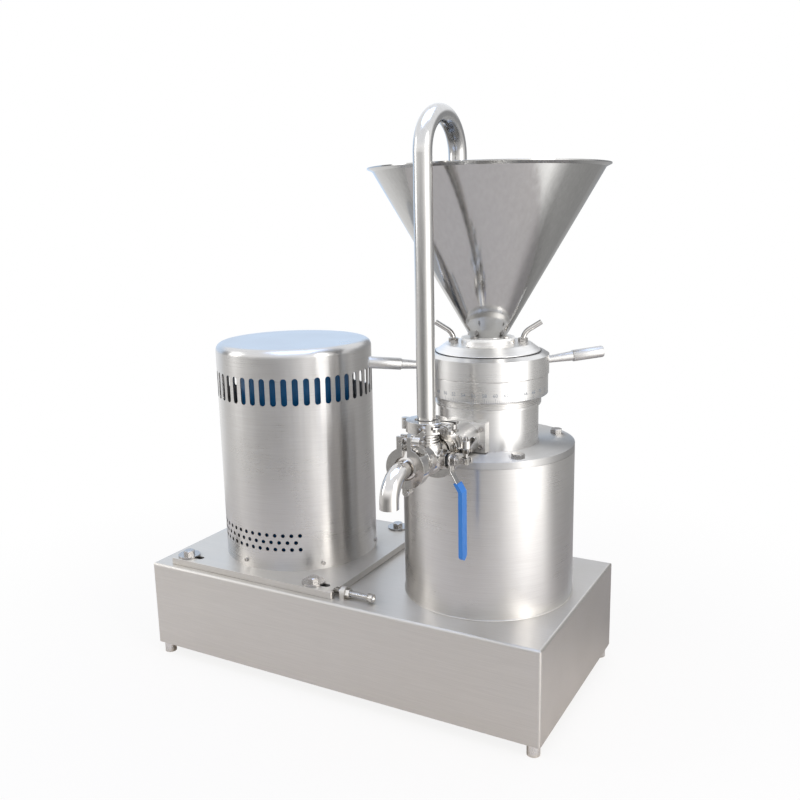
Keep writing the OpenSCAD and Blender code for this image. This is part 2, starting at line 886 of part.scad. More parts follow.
// The two closed bearings of the motor.
module motor_bearings() {
  color("#b0b0b0") at_motor()
    for (z = [z_frame - motor_bearing_w, z_shield])
      translate([0, 0, z]) tube(motor_bearing_d, motor_shaft_d + 2 * fit_gap, motor_bearing_w);
}

// The wound core in the motor frame, with its coil heads.
module motor_stator() {
  core_in_d = rotor_core_d + 2 * air_gap;
  color("#9a6a45") at_motor() difference() {
    union() {
      translate([0, 0, z_core]) cylinder(d = motor_bore_d - 2 * fit_gap, h = core_h);
      translate([0, 0, z_core - coil_h]) cylinder(d = motor_bore_d - 2 * coil_in, h = core_h + 2 * coil_h);
    }
    bore(core_in_d, z_core - coil_h, z_core + core_h + coil_h);
  }
}

// The motor's core, shrunk on its shaft.
module motor_rotor() {
  color("#8c8c8c") at_motor() {
    translate([0, 0, z_core])
      tube(rotor_core_d, motor_shaft_d + 2 * fit_gap, core_h);
    translate([0, 0, z_pulley - pulley_w / 2 - cut])
      cylinder(d = motor_shaft_d, h = z_cowl + fan_clear + fan_h - z_pulley + pulley_w / 2 + cut);
  }
}

// The fan on the upper end of the motor shaft.
module motor_fan() {
  disc = 3;
  color("#3a3a3c") at_motor() translate([0, 0, z_cowl + fan_clear]) difference() {
    union() {
      cylinder(d = fan_hub_d, h = fan_h);
      cylinder(d = fan_d * 0.8, h = disc);
      around(fan_blades) translate([fan_hub_d / 2 - cut, -fan_blade_t / 2, 0])
        cube([fan_d / 2 - fan_hub_d / 2, fan_blade_t, fan_h]);
    }
    bore(motor_shaft_d + 2 * fit_gap, 0, fan_h);
  }
}

// The cowl over the fan, with a ring pattern of air holes.
module motor_fan_cowl() {
  seat_in = cowl_d / 2 - cowl_t;
  color("#146eaa") at_motor() translate([0, 0, z_cowl - shield_h / 2]) difference() {
    rotate_extrude() difference() {
      cover_half(cowl_d / 2, cowl_h + shield_h / 2, cowl_hole_d);
      difference() {
        translate([0, -cut]) cover_half(seat_in, cowl_h + shield_h / 2 - cowl_t + cut, cowl_hole_d - cowl_t);
        translate([motor_frame_d / 2 - 2 * cut, 0]) square([cowl_d, cowl_t]);
      }
    }
    for (ring = [1 : cowl_hole_rings])
      around(ring * 6) translate([ring * 2 * cowl_hole_d, 0, cowl_h + shield_h / 2 - cowl_t - cut])
        cylinder(d = cowl_hole_d, h = cowl_t + 2 * cut);
  }
}

// Section of a belt, or of its groove when widened, at a pitch radius.
module belt_section(pitch_r, widen, over, under) {
  lean = tan(belt_flank);
  top_r = pitch_r + belt_over_pitch;
  foot_r = top_r - belt_t;
  polygon([
    [foot_r - under, -belt_foot_w / 2 - widen + under * lean],
    [top_r + over, -belt_w / 2 - widen - over * lean],
    [top_r + over, belt_w / 2 + widen + over * lean],
    [foot_r - under, belt_foot_w / 2 + widen - under * lean]
  ]);
}

// A grooved pulley round the origin.
module pulley(pitch_d, shaft_d) {
  difference() {
    rotate_extrude() difference() {
      translate([0, -pulley_w / 2]) square([pitch_d / 2 + belt_over_pitch, pulley_w]);
      at_belts() belt_section(pitch_d / 2, run_gap, 2 * cut, 2 * cut);
    }
    bore(shaft_d + 2 * fit_gap, -pulley_w / 2, pulley_w / 2);
  }
}

// Places the children at each belt's height, in a half section.
module at_belts() {
  for (i = [0 : belt_count - 1])
    translate([0, (i - (belt_count - 1) / 2) * belt_step]) children();
}

module motor_pulley() {
  color("#6f7275") at_motor() translate([0, 0, z_pulley]) pulley(motor_pulley_d, motor_shaft_d);
}

module mill_pulley() {
  color("#6f7275") at_mill() translate([0, 0, z_pulley]) pulley(mill_pulley_d, pulley_seat_d);
}

// A loop round both pulleys, between two heights, at given distances from the pitch line.
module belt_loop(low_z, low_over, high_z, high_over) {
  hull() {
    at_motor() belt_disc(motor_pulley_d / 2, low_z, low_over, high_z, high_over);
    at_mill() belt_disc(mill_pulley_d / 2, low_z, low_over, high_z, high_over);
  }
}

// The end of such a loop on one pulley.
module belt_disc(pitch_r, low_z, low_over, high_z, high_over) {
  translate([0, 0, low_z]) cylinder(r1 = pitch_r + low_over, r2 = pitch_r + high_over, h = high_z - low_z);
}

// The V-belts: a loop with a narrow foot that faces the pulleys.
module drive_belts() {
  foot = belt_over_pitch - belt_t;
  back = belt_over_pitch - belt_edge;
  rise = cut * 2 * (back - foot) / (belt_w - belt_foot_w);
  color("#222224") translate([0, 0, z_pulley]) for (i = [0 : belt_count - 1])
    translate([0, 0, (i - (belt_count - 1) / 2) * belt_step]) difference() {
      belt_loop(-belt_w / 2, belt_over_pitch, belt_w / 2, belt_over_pitch);
      belt_loop(-belt_w / 2, foot, belt_w / 2, foot);
      for (side = [0, 1]) mirror([0, 0, side])
        belt_loop(belt_foot_w / 2 - cut, foot - rise, belt_w / 2 + cut, back + rise);
    }
}

// The nut that holds the mill pulley on the shaft.
module pulley_nut() {
  color("#d0d0ce") at_mill() translate([0, 0, z_pulley - pulley_w / 2 - shaft_nut_h])
    hex_nut(pulley_seat_d - 5, shaft_nut_af, shaft_nut_h);
}

// The stepped main shaft, from the pulley nut up to the rotor nut.
module main_shaft() {
  steps = [
    [z_shaft, pulley_seat_d - 5],
    [z_pulley - pulley_w / 2, pulley_seat_d],
    [z_pulley + pulley_w / 2, pulley_seat_d + 5],
    [z_bearing_low, bearing_bore],
    [z_bearing_high + bearing_w, seal_d],
    [z_rotor_hub, rotor_seat_d],
    [z_rotor_top, rotor_seat_d - 8],
    [z_rotor_top + rotor_nut_h - 4, 0]
  ];
  color("#b8b8b8") at_mill() for (i = [0 : len(steps) - 2])
    translate([0, 0, steps[i][0]]) cylinder(d = steps[i][1], h = steps[i + 1][0] - steps[i][0]);
}

// The bearing housing that hangs under the lid.
module bearing_housing() {
  seat_r = bearing_od / 2 + fit_gap;
  shoulder_r = bearing_od / 2 - bearing_shoulder;
  color("#8f9296") at_mill() rotate_extrude() difference() {
    union() {
      translate([0, z_housing]) square([housing_d / 2, housing_h]);
      translate([0, z_lid - housing_flange_t]) square([housing_d / 2 + housing_flange_w, housing_flange_t]);
    }
    translate([0, z_housing - cut]) square([shoulder_r, housing_h + 2 * cut]);
    for (z = [z_bearing_low, z_bearing_high])
      translate([0, z]) square([seat_r, bearing_w]);
  }
}

// Half section of one bearing ring, with its ball groove.
module bearing_ring(r0, r1) {
  difference() {
    translate([r0, 0]) square([r1 - r0, bearing_w]);
    translate([ball_pitch_r, bearing_w / 2]) circle(race_r);
  }
}

// Outer rings and balls of the two main bearings.
module mill_bearings() {
  color("#b0b0b0") at_mill() for (z = [z_bearing_low, z_bearing_high])
    translate([0, 0, z]) {
      rotate_extrude() bearing_ring(ball_pitch_r + race_half, bearing_od / 2);
      around(ball_count) translate([ball_pitch_r, 0, bearing_w / 2]) sphere(bearing_ball_r);
    }
}

// Inner rings of the two main bearings.
module bearing_inner_rings() {
  color("#b0b0b0") at_mill() for (z = [z_bearing_low, z_bearing_high])
    translate([0, 0, z]) rotate_extrude() bearing_ring(bearing_bore / 2 + fit_gap, ball_pitch_r - race_half);
}

// The drum that carries the grinding head.
module mill_drum() {
  in_r = drum_d / 2 - drum_wall;
  color("#c9c7c4") at_mill() difference() {
    rotate_extrude() {
      translate([in_r, z_deck]) square([drum_wall, drum_h]);
      translate([in_r - drum_foot_w, z_deck]) square([drum_foot_w + cut, drum_foot_t]);
      translate([in_r - drum_ring_w, z_lid - drum_ring_t]) square([drum_ring_w + cut, drum_ring_t]);
    }
    at_lid_bolts() bore(lid_bolt_d + 2 * fit_gap, z_lid - drum_ring_t, z_lid);
  }
}

module at_lid_bolts() {
  around(4, screw_turn) translate([lid_pcd / 2, 0, 0]) children();
}

// The flat lid on the drum.
module drum_lid() {
  color("#c4cbd4") at_mill() difference() {
    translate([0, 0, z_lid]) cylinder(d = drum_d, h = lid_t);
    bore(lid_hole_d, z_lid, z_head);
    at_lid_bolts() bore(lid_bolt_d + 2 * fit_gap, z_lid, z_head);
  }
}

module lid_bolts() {
  color("#d0d0ce") at_mill() at_lid_bolts() translate([0, 0, z_head])
    hex_bolt(lid_bolt_d, lid_t + drum_ring_t);
}

// The casing of the grinding chamber, threaded outside at the top.
module neck_casing() {
  color("#c9c7c4") difference() {
    at_mill() rotate_extrude() difference() {
      union() {
        translate([0, z_head]) square([neck_d / 2, neck_h]);
        translate([0, z_step]) square([step_d / 2, step_h]);
        translate([0, z_step]) square([thread_d / 2, z_casing_top - z_step]);
      }
      translate([0, z_floor]) square([neck_bore / 2, z_casing_top - z_floor + cut]);
      translate([0, z_head - cut]) square([seal_d / 2 + seal_wall, floor_t + 2 * cut]);
    }
    outlet_bore_cut();
    outlet_seat_cut(fit_gap);
    at_block_screws() cylinder(d = block_screw_d + 2 * fit_gap, h = block_screw_l + fit_gap);
  }
}

// Everything the outlet bore removes between the chamber and the block's face.
module outlet_bore_cut() {
  translate([mill_x, 0, z_outlet]) rotate([90, 0, 0]) cylinder(d = outlet_bore, h = block_y + cut);
}

// The flat seat in the neck that takes the outlet block.
module outlet_seat_cut(gap) {
  depth = 2 * block_reach;
  translate([mill_x - block_w / 2 - gap, -block_y - cut, z_outlet - block_h / 2 - gap])
    cube([block_w + 2 * gap, depth + cut + gap, block_h + 2 * gap]);
}

// Frames in the block's screw holes, on its face, with +Z pointing into the neck.
module at_block_screws() {
  translate([mill_x, -block_y, z_outlet]) rotate([-90, 0, 0])
    corners(block_screw_dx, block_screw_dz) children();
}

// The still ring of the shaft seal.
module seal_seat() {
  color("#4a4a4e") at_mill() translate([0, 0, z_head])
    tube(seal_d + 2 * seal_wall - 2 * fit_gap, seal_d + 2 * run_gap, floor_t + seal_lift);
}

// The turning ring of the shaft seal.
module seal_head() {
  color("#77787c") at_mill() translate([0, 0, z_seal])
    tube(seal_d + 2 * seal_wall, seal_d + 2 * fit_gap, z_rotor_hub - z_seal);
}

// Leaning gaps in a cone of teeth, cut from the surface to the given side.
module tooth_gaps(count, z0, h, lean, widen, side) {
  mid_r = rotor_d / 2 - (z0 + h / 2 - z_cone_teeth) * tan(cone_lean);
  around(count) translate([mid_r, 0, z0 + h / 2]) rotate([0, -cone_lean, 0]) rotate([lean, 0, 0])
    translate([side < 0 ? -tooth_depth : 0, -tooth_gap * widen / 2, -h * 0.62])
      cube([tooth_depth + 2 * cut, tooth_gap * widen, h * 1.24]);
}

// The toothed rotor with pumping vanes below.
module rotor() {
  half = rotor_h / 2;
  color("#a9abae") at_mill() difference() {
    union() {
      translate([0, 0, z_rotor_hub]) cylinder(d = seal_d + 2 * seal_wall, h = hub_below + cut);
      translate([0, 0, z_rotor_disc]) cylinder(d = disc_d, h = disc_t);
      translate([0, 0, z_cone_teeth]) cylinder(d1 = rotor_d, d2 = rotor_top_d, h = rotor_h);
      around(vane_count) translate([seal_d / 2 + seal_wall + 2, -vane_t / 2, z_rotor_disc - vane_h])
        cube([disc_d / 2 - seal_d / 2 - seal_wall - 4, vane_t, vane_h + cut]);
    }
    bore(rotor_seat_d + 2 * fit_gap, z_rotor_hub, z_rotor_top);
    tooth_gaps(fine_teeth, z_cone_teeth, half, tooth_lean, 1, -1);
    tooth_gaps(coarse_teeth, z_cone_teeth + half, half, tooth_lean, 2, -1);
  }
}

// The domed nut that holds the rotor and spreads the feed.
module rotor_nut() {
  color("#b8b8b8") at_mill() translate([0, 0, z_rotor_top]) difference() {
    union() {
      cylinder(d = rotor_nut_d, h = rotor_nut_h / 2);
      translate([0, 0, rotor_nut_h / 2])
        cylinder(d1 = rotor_nut_d, d2 = rotor_seat_d / 2, h = rotor_nut_h / 2);
    }
    bore(rotor_seat_d - 8 + 2 * fit_gap, 0, rotor_nut_h - 4 - cut);
  }
}

// The toothed ring round the rotor.
module stator_ring() {
  half = rotor_h / 2;
  gap = grind_gap / cos(cone_lean);
  color("#9a9ca0") at_mill() difference() {
    translate([0, 0, z_cone_teeth + grind_gap])
      cylinder(d = stator_wall_d, h = z_stator_top - z_cone_teeth - grind_gap);
    translate([0, 0, z_cone_teeth]) cylinder(d1 = rotor_d + 2 * gap, d2 = rotor_top_d + 2 * gap, h = rotor_h);
    bore(chamber_d, z_rotor_top, z_stator_top);
    tooth_gaps(fine_teeth, z_cone_teeth, half, -tooth_lean, 1, 1);
    tooth_gaps(coarse_teeth, z_cone_teeth + half, half, -tooth_lean, 2, 1);
    at_stator_screws() bore(stator_screw_d + 2 * fit_gap, z_stator_top - stator_screw_d, z_stator_top);
  }
}

module at_stator_screws() {
  around(stator_screw_count, handle_a + screw_turn) translate([stator_screw_pcd / 2, 0, 0]) children();
}

// Screws from the cover down into the stator ring.
module stator_screws() {
  color("#d0d0ce") at_mill() at_stator_screws() translate([0, 0, z_top - stator_screw_d])
    socket_screw(stator_screw_d, z_top - z_stator_top, stator_screw_d);
}

// The cover that carries the stator, the nipples and the hopper.
module top_cover() {
  color("#cfcecb") at_mill() difference() {
    rotate_extrude() difference() {
      union() {
        translate([0, z_stator_top]) square([stator_wall_d / 2, spigot_drop]);
        translate([0, z_rim]) square([rim_d / 2, rim_h]);
        polygon([[0, z_rim_top], [rim_d / 2, z_rim_top], [top_d / 2, z_top], [0, z_top]]);
        translate([0, z_top]) square([collar_d / 2, collar_h]);
      }
      translate([0, z_stator_top - cut]) square([throat_d / 2, z_collar - z_stator_top + 2 * cut]);
      polygon([
        [0, z_stator_top - cut], [chamber_d / 2, z_stator_top - cut],
        [chamber_d / 2, z_stator_top + rotor_nut_h / 2], [0, z_stator_top + chamber_d / 2 + rotor_nut_h / 2]
      ]);
    }
    at_stator_screws() {
      bore(stator_screw_d + 2 * fit_gap, z_stator_top, z_top);
      bore(socket_head_d * stator_screw_d + 2 * fit_gap, z_top - stator_screw_d + cut, z_top);
    }
    at_nipples() bore(nipple_d + 2 * fit_gap, z_top - nipple_d, z_top);
    at_hopper_bolts() bore(hopper_bolt_d + 2 * fit_gap, z_top, z_collar);
  }
}

module at_nipples() {
  around(2, nipple_a) translate([nipple_r, 0, 0]) children();
}

module at_hopper_bolts() {
  around(4, handle_a + screw_turn - 9) translate([hopper_pcd / 2, 0, 0]) children();
}

// The graduated ring, fixed on the casing.
module scale_ring() {
  ease = 1.5;
  color("#bdbcba") at_mill() rotate_extrude() polygon([
    [thread_d / 2 + fit_gap, z_scale], [scale_d / 2 - ease, z_scale], [scale_d / 2, z_scale + ease],
    [scale_d / 2, z_scale + scale_h], [thread_d / 2 + fit_gap, z_scale + scale_h]
  ]);
}

// The turning ring that lifts the cover, with its two handle sockets.
module handle_ring() {
  rest_z = z_rim - run_gap;
  top_r = rim_d / 2 + run_gap + cut;
  color("#cfcecb") difference() {
    at_mill() rotate_extrude() polygon([
      [ring_in_d / 2, z_ring], [ring_d / 2, z_ring], [ring_d / 2, z_ring + ring_h],
      [top_r + ring_bevel, z_ring_top], [top_r, z_ring_top], [top_r, rest_z],
      [ring_in_d / 2, rest_z]
    ]);
    for (side = [0, 180])
      at_handle(side) bore(handle_stud_d + 2 * fit_gap, handle_r - stud_depth, handle_r + 2 * cut);
  }
}

// A frame on the mill axis whose +Z runs out along a handle.
module at_handle(side) {
  at_mill() translate([0, 0, handle_z]) rotate(handle_a + side) rotate([0, 90 - handle_tilt, 0]) children();
}

// A tapered grip with a round end on its stud.
module handle(side) {
  grip_z = handle_r + stud_free;
  straight_z = grip_z + grip_l * grip_taper;
  end_z = grip_z + grip_l - grip_d / 2;
  color("#d6d4d0") at_handle(side) {
    translate([0, 0, handle_r - stud_depth + cut]) cylinder(d = handle_stud_d, h = stud_depth + stud_free);
    rotate_extrude() intersection() {
      union() {
        polygon([
          [0, grip_z], [grip_neck_d / 2, grip_z], [grip_d / 2, straight_z],
          [grip_d / 2, end_z], [0, end_z]
        ]);
        translate([0, end_z]) circle(grip_d / 2);
      }
      translate([0, grip_z]) square([grip_d, grip_l + cut]);
    }
  }
}

module handle_right() {
  handle(0);
}

module handle_left() {
  handle(180);
}

// Two bent water pipes in hex fittings on the cover.
module water_nipples() {
  hex_h = nipple_d * 0.9;
  rise = hex_h / 2;
  color("#cfcecb") at_mill() at_nipples() translate([0, 0, z_top]) {
    difference() {
      union() {
        cylinder(d = nipple_d * 1.6 * hex_to_corner, h = hex_h, $fn = 6);
        translate([0, 0, -nipple_d]) cylinder(d = nipple_d, h = nipple_d + cut);
      }
      bore(nipple_bore + cut, -nipple_d, hex_h);
    }
    translate([nipple_bend_r, 0, rise]) rotate([0, nipple_bend, 0]) rotate([-90, 0, 180]) {
      rotate_extrude(angle = nipple_bend) translate([nipple_bend_r, 0]) pipe_ring(nipple_d, nipple_bore);
      translate([nipple_bend_r, 0, 0]) rotate([90, 0, 0]) tube(nipple_d, nipple_bore, nipple_end);
    }
  }
}

// The conical hopper with its lip and its foot flange.
module hopper() {
  lip_z = z_hopper_top - lip_h;
  wall_x = hopper_t / cos(atan((cone_r1 - cone_r0) / (lip_z - z_cone)));
  color("#cfcac4") at_mill() difference() {
    rotate_extrude() {
      polygon([
        [cone_r0 - wall_x, z_cone - cut], [cone_r0, z_cone - cut], [cone_r0, z_cone], [cone_r1, lip_z],
        [lip_r, z_hopper_top - hopper_t], [lip_r, z_hopper_top], [lip_r - hopper_t, z_hopper_top],
        [cone_r1 - wall_x, lip_z + hopper_t], [cone_r0 - wall_x, z_cone]
      ]);
      translate([throat_d / 2, z_hopper]) square([hopper_flange_d / 2 - throat_d / 2, hopper_flange_t]);
    }
    at_hopper_bolts() bore(hopper_bolt_d + 2 * fit_gap, z_hopper, z_cone);
  }
}

module hopper_bolts() {
  color("#d0d0ce") at_mill() at_hopper_bolts() translate([0, 0, z_cone])
    hex_bolt(hopper_bolt_d, hopper_flange_t + collar_h);
}

// Half section of a pipe ferrule: its face is at y = 0 and its tube runs to -y.
module ferrule_half(face_d, tube_d, bore_d, tail) {
  back = ferrule_t + (face_d - tube_d) / 2 * tan(ferrule_flank);
  polygon([
    [bore_d / 2, 0], [face_d / 2, 0], [face_d / 2, -ferrule_t], [tube_d / 2, -back],
    [tube_d / 2, -tail], [bore_d / 2, -tail]
  ]);
}

// Frames on the outlet axis at a distance in front of the mill, with +Z pointing forwards.
module on_outlet(y) {
  translate([mill_x, -y, z_outlet]) rotate([90, 0, 0]) children();
}

// The block on the neck with the wide tube and its ferrule.
module outlet_block() {
  tube_l = wide_clamp_y - gasket_t / 2 - block_y;
  color("#c4c2be") difference() {
    union() {
      outlet_seat_block();
      on_outlet(wide_clamp_y - gasket_t / 2) rotate_extrude()
        ferrule_half(wide_ferrule_d, wide_tube_d, wide_tube_d - 2 * tube_wall, tube_l + cut);
    }
    outlet_bore_cut();
    at_block_screws() bore(block_screw_d + 2 * fit_gap, 0, 2 * block_reach);
  }
}

// The body of the outlet block, seated in the flat of the neck.
module outlet_seat_block() {
  translate([mill_x - block_w / 2, -block_y, z_outlet - block_h / 2])
    cube([block_w, 2 * block_reach, block_h]);
}

module outlet_screws() {
  color("#d0d0ce") at_block_screws() rotate([180, 0, 0])
    socket_screw(block_screw_d, block_screw_l, block_screw_d * head_h);
}

// The three-way valve: a casting with a wide rear ferrule, and the screwed front cap.
module valve_body() {
  rear = valve_y - wide_clamp_y - gasket_t / 2;
  front = spout_run - gasket_t / 2;
  up = return_run - gasket_t / 2;
  stem_hole = stem_d + 2 * run_gap;
  color("#d2d0cc") {
    difference() {
      union() {
        translate([mill_x, -valve_y, z_outlet]) {
          sphere(valve_r);
          rotate([0, 90, 0]) cylinder(d = boss_d, h = boss_x);
          translate([boss_x - cut, 0, 0]) rotate([0, 90, 0])
            cylinder(d = gland_af * hex_to_corner, h = gland_h + cut, $fn = 6);
          cylinder(d = cap_af, h = valve_r - 4);
          port_ridges();
        }
        on_outlet(valve_y - rear) rotate([180, 0, 0]) rotate_extrude()
          ferrule_half(wide_ferrule_d, wide_tube_d, valve_bore, rear);
        on_outlet(valve_y) cylinder(d = cap_af * hex_to_corner, h = cap_y, $fn = 6);
        translate([mill_x, -valve_y, z_outlet + up]) rotate([90, 0, 0]) rotate([-90, 0, 0])
          rotate_extrude() ferrule_half(ferrule_d, pipe_d + 4, valve_bore, up);
      }
      translate([mill_x, -valve_y, z_outlet]) {
        sphere(ball_d / 2 + run_gap);
        bore(valve_bore, 0, up);
        rotate([0, 90, 0]) cylinder(d = stem_hole, h = lever_x + gland_h);
      }
      on_outlet(valve_y) {
        bore(valve_bore, -rear, cap_y);
        cylinder(d = ball_d + 2 * run_gap, h = cap_y + cut);
      }
    }
    difference() {
      on_outlet(valve_y) rotate_extrude() {
        translate([valve_bore / 2, cap_inner()])
          square([ball_d / 2 - valve_bore / 2, cap_y - cap_inner() + cut]);
        translate([valve_bore / 2, cap_y + fit_gap]) square([cap_af / 2 - valve_bore / 2, ferrule_tail]);
        translate([0, front]) ferrule_half(ferrule_d, pipe_d + 4, valve_bore, front - cap_y);
      }
      translate([mill_x, -valve_y, z_outlet]) {
        sphere(ball_d / 2 + run_gap);
        rotate([0, 90, 0]) cylinder(d = stem_hole, h = lever_x);
      }
    }
  }
}

// Where the front cap's nose ends against the ball.
function cap_inner() = sqrt(pow(ball_d / 2 + run_gap, 2) - pow(ball_d / 2, 2));

// Rings on the neck of the top port.
module port_ridges() {
  for (i = [0 : ridge_count - 1])
    translate([0, 0, valve_r - 4 + i * ridge_step]) cylinder(d = cap_af - 4 - i * 2, h = ridge_step / 2);
}

// The ball with its three ways.
module valve_ball() {
  flat = 5;
  color("#d8d8d8") translate([mill_x, -valve_y, z_outlet]) difference() {
    sphere(ball_d / 2);
    rotate([90, 0, 0]) cylinder(d = valve_bore, h = ball_d, center = true);
    cylinder(d = valve_bore, h = ball_d);
    translate([ball_d / 2 - flat, -stem_d / 4, -ball_d / 2]) cube([flat + cut, stem_d / 2, ball_d]);
  }
}

// The stem, keyed into the ball, through the gland and the lever.
module valve_stem() {
  flat = 5;
  key_x = ball_d / 2 - flat + fit_gap;
  end_x = lever_x + lever_t + lever_nut_h + 2;
  color("#d8d8d8") translate([mill_x, -valve_y, z_outlet]) {
    intersection() {
      rotate([0, 90, 0]) translate([0, 0, key_x]) cylinder(d = stem_d, h = flat + cut);
      translate([0, -stem_d / 4 + fit_gap, -ball_d / 2]) cube([ball_d, stem_d / 2 - 2 * fit_gap, ball_d]);
    }
    rotate([0, 90, 0]) translate([0, 0, ball_d / 2 + run_gap])
      cylinder(d = stem_d, h = lever_x - ball_d / 2 - run_gap);
    rotate([0, 90, 0]) translate([0, 0, lever_x - cut]) cylinder(d = stem_d - 4, h = end_x - lever_x + cut);
  }
}

// Side outline of the bent lever, thickened by a given amount on each side.
module lever_path(grow) {
  drop = lever_root_h + lever_slant_h;
  inner = lever_x - grow;
  outer = lever_x + lever_t + grow;
  polygon([
    [inner, lever_hub_d / 2], [outer, lever_hub_d / 2], [outer, -lever_root_h],
    [outer + lever_out, -drop], [outer + lever_out, -lever_l - 2 * grow],
    [inner + lever_out, -lever_l - 2 * grow], [inner + lever_out, -drop], [inner, -lever_root_h]
  ]);
}

// Front outline of the lever: a strip with a round lower end.
module lever_front(w, low) {
  translate([-w / 2, low + w / 2]) square([w, lever_hub_d - low - w / 2]);
  translate([0, low + w / 2]) circle(d = w);
}

// Places the children in the lever's side view, spread to both sides.
module lever_side(w) {
  translate([0, w / 2, 0]) rotate([90, 0, 0]) linear_extrude(w) children();
}

// Places the children in the lever's front view, through its thickness.
module lever_through() {
  rotate([90, 0, 90]) linear_extrude(lever_x + lever_t + lever_out + lever_hub_d) children();
}

// The flat steel lever with its round hub.
module valve_lever() {
  color("#d0d0ce") translate([mill_x, -valve_y, z_outlet]) difference() {
    intersection() {
      lever_side(lever_hub_d) lever_path(0);
      lever_through() {
        lever_front(lever_w, -lever_l);
        circle(d = lever_hub_d);
      }
    }
    rotate([0, 90, 0]) bore(stem_d - 4 + 2 * fit_gap, lever_x, lever_x + lever_t);
  }
}

// The blue sleeve dipped over the lever.
module lever_sleeve() {
  wide = lever_w + 2 * sleeve_wall;
  color("#3a86d6") translate([mill_x, -valve_y, z_outlet]) difference() {
    intersection() {
      lever_side(wide) lever_path(sleeve_wall);
      lever_through() difference() {
        lever_front(wide, -lever_l - sleeve_wall);
        translate([-wide, -sleeve_start]) square([2 * wide, 2 * lever_hub_d + sleeve_start]);
      }
    }
    intersection() {
      lever_side(lever_w + 2 * fit_gap) lever_path(fit_gap);
      lever_through() lever_front(lever_w + 2 * fit_gap, -lever_l - fit_gap);
    }
  }
}

// The nut that holds the lever on the stem.
module lever_nut() {
  color("#d8d8d8") translate([mill_x + lever_x + lever_t, -valve_y, z_outlet]) rotate([0, 90, 0])
    hex_nut(stem_d - 4, lever_nut_af, lever_nut_h);
}

// The spout: a ferrule and a bend that points down.
module spout() {
  face = spout_y + gasket_t / 2;
  bend_z = z_outlet - spout_bend_r;
  color("#d6d4d0") {
    on_outlet(face) rotate([180, 0, 0]) rotate_extrude()
      ferrule_half(ferrule_d, pipe_d, pipe_in_d, spout_lead);
    translate([mill_x, -face - spout_lead, bend_z]) rotate([180, -90, 0])
      rotate_extrude(angle = 90) translate([spout_bend_r, 0]) pipe_ring(pipe_d, pipe_in_d);
    translate([mill_x, -face - spout_lead - spout_bend_r, bend_z - spout_tail])
      tube(pipe_d, pipe_in_d, spout_tail);
  }
}

// Section of a pipe.
module pipe_ring(od, id) {
  difference() {
    circle(d = od);
    circle(d = id);
  }
}

// The return pipe from the valve up, over the rim and down into the hopper.
module return_pipe() {
  foot_z = z_return + gasket_t / 2;
  bend_z = z_outlet + return_rise;
  color("#cfc9c4") translate([mill_x, -valve_y, 0]) {
    translate([0, 0, foot_z]) rotate([180, 0, 0]) rotate_extrude()
      ferrule_half(ferrule_d, pipe_d, pipe_in_d, bend_z - foot_z);
    translate([0, return_bend_r, bend_z]) rotate([90, 0, -90]) rotate_extrude(angle = 180)
      translate([return_bend_r, 0]) pipe_ring(pipe_d, pipe_in_d);
    translate([0, 2 * return_bend_r, bend_z - return_leg]) tube(pipe_d, pipe_in_d, return_leg);
  }
}

// Frames of the three clamps: the ring's axis is Z, the closure is at +X and the nut faces +Y.
module at_outlet_clamp() {
  on_outlet(wide_clamp_y) children();
}

module at_spout_clamp() {
  translate([mill_x, -spout_y, z_outlet]) rotate([-90, -90, 0]) children();
}

module at_return_clamp() {
  translate([mill_x, -valve_y, z_return]) rotate([180, 0, 0]) children();
}

// Section of a clamp ring with its wedge groove.
module clamp_section(face_d, tube_d, r) {
  in_r = tube_d / 2 + 2;
  groove_r = face_d / 2 + run_gap;
  mouth = gasket_t / 2 + ferrule_t + run_gap;
  flank = mouth + (groove_r - in_r) * tan(ferrule_flank);
  half = clamp_w / 2;
  polygon([
    [in_r, half], [r, half], [r, -half], [in_r, -half], [in_r, -flank],
    [groove_r, -mouth], [groove_r, mouth], [in_r, flank]
  ]);
}

// The two halves of a pipe clamp.
module clamp(face_d, tube_d, r) {
  color("#d2d0cc") {
    clamp_half(face_d, tube_d, r, 1);
    mirror([0, 1, 0]) clamp_half(face_d, tube_d, r, -1);
  }
}

// One half, on the +Y side. Its kind is 1 for the slotted half and -1 for the half with the bolt's pivot.
module clamp_half(face_d, tube_d, r, kind) {
  lug_y = lug_gap / 2;
  hinge_x = -r - knuckle_out;
  lug_deep = kind > 0 ? lug_t : lug_t + 2;
  difference() {
    union() {
      difference() {
        rotate_extrude(angle = 180) clamp_section(face_d, tube_d, r);
        translate([0, -cut, -clamp_w]) cube([2 * r, lug_y + cut, 2 * clamp_w]);
        translate([-2 * r, -cut, -clamp_w]) cube([2 * r, cut + run_gap, 2 * clamp_w]);
      }
      translate([r - clamp_wall / 2, lug_y, -clamp_w / 2]) cube([lug_h + clamp_wall / 2, lug_deep, clamp_w]);
      translate([0, 0, -knuckle_w / 2]) hinge_knuckle(hinge_x, r, kind);
    }
    translate([r + swing_out, 0, 0]) swing_slot(kind);
    translate([hinge_x, 0, -clamp_w]) cylinder(d = pin_d + 2 * fit_gap, h = 2 * clamp_w);
    if (kind < 0)
      translate([hinge_x, 0, -knuckle_w / 2 - run_gap])
        cylinder(d = knuckle_d + 2 * run_gap, h = knuckle_w + 2 * run_gap);
  }
}

// The hinge eye: one in the middle, or one at each side of it.
module hinge_knuckle(hinge_x, r, kind) {
  arm_z = kind > 0 ? 0 : knuckle_w / 2 - clamp_w / 2;
  arm_h = kind > 0 ? knuckle_w : clamp_w;
  translate([hinge_x, run_gap, arm_z]) cube([-hinge_x - r + clamp_wall / 2, knuckle_d / 2 - run_gap, arm_h]);
  translate([hinge_x, 0, arm_z]) cylinder(d = knuckle_d, h = arm_h);
}

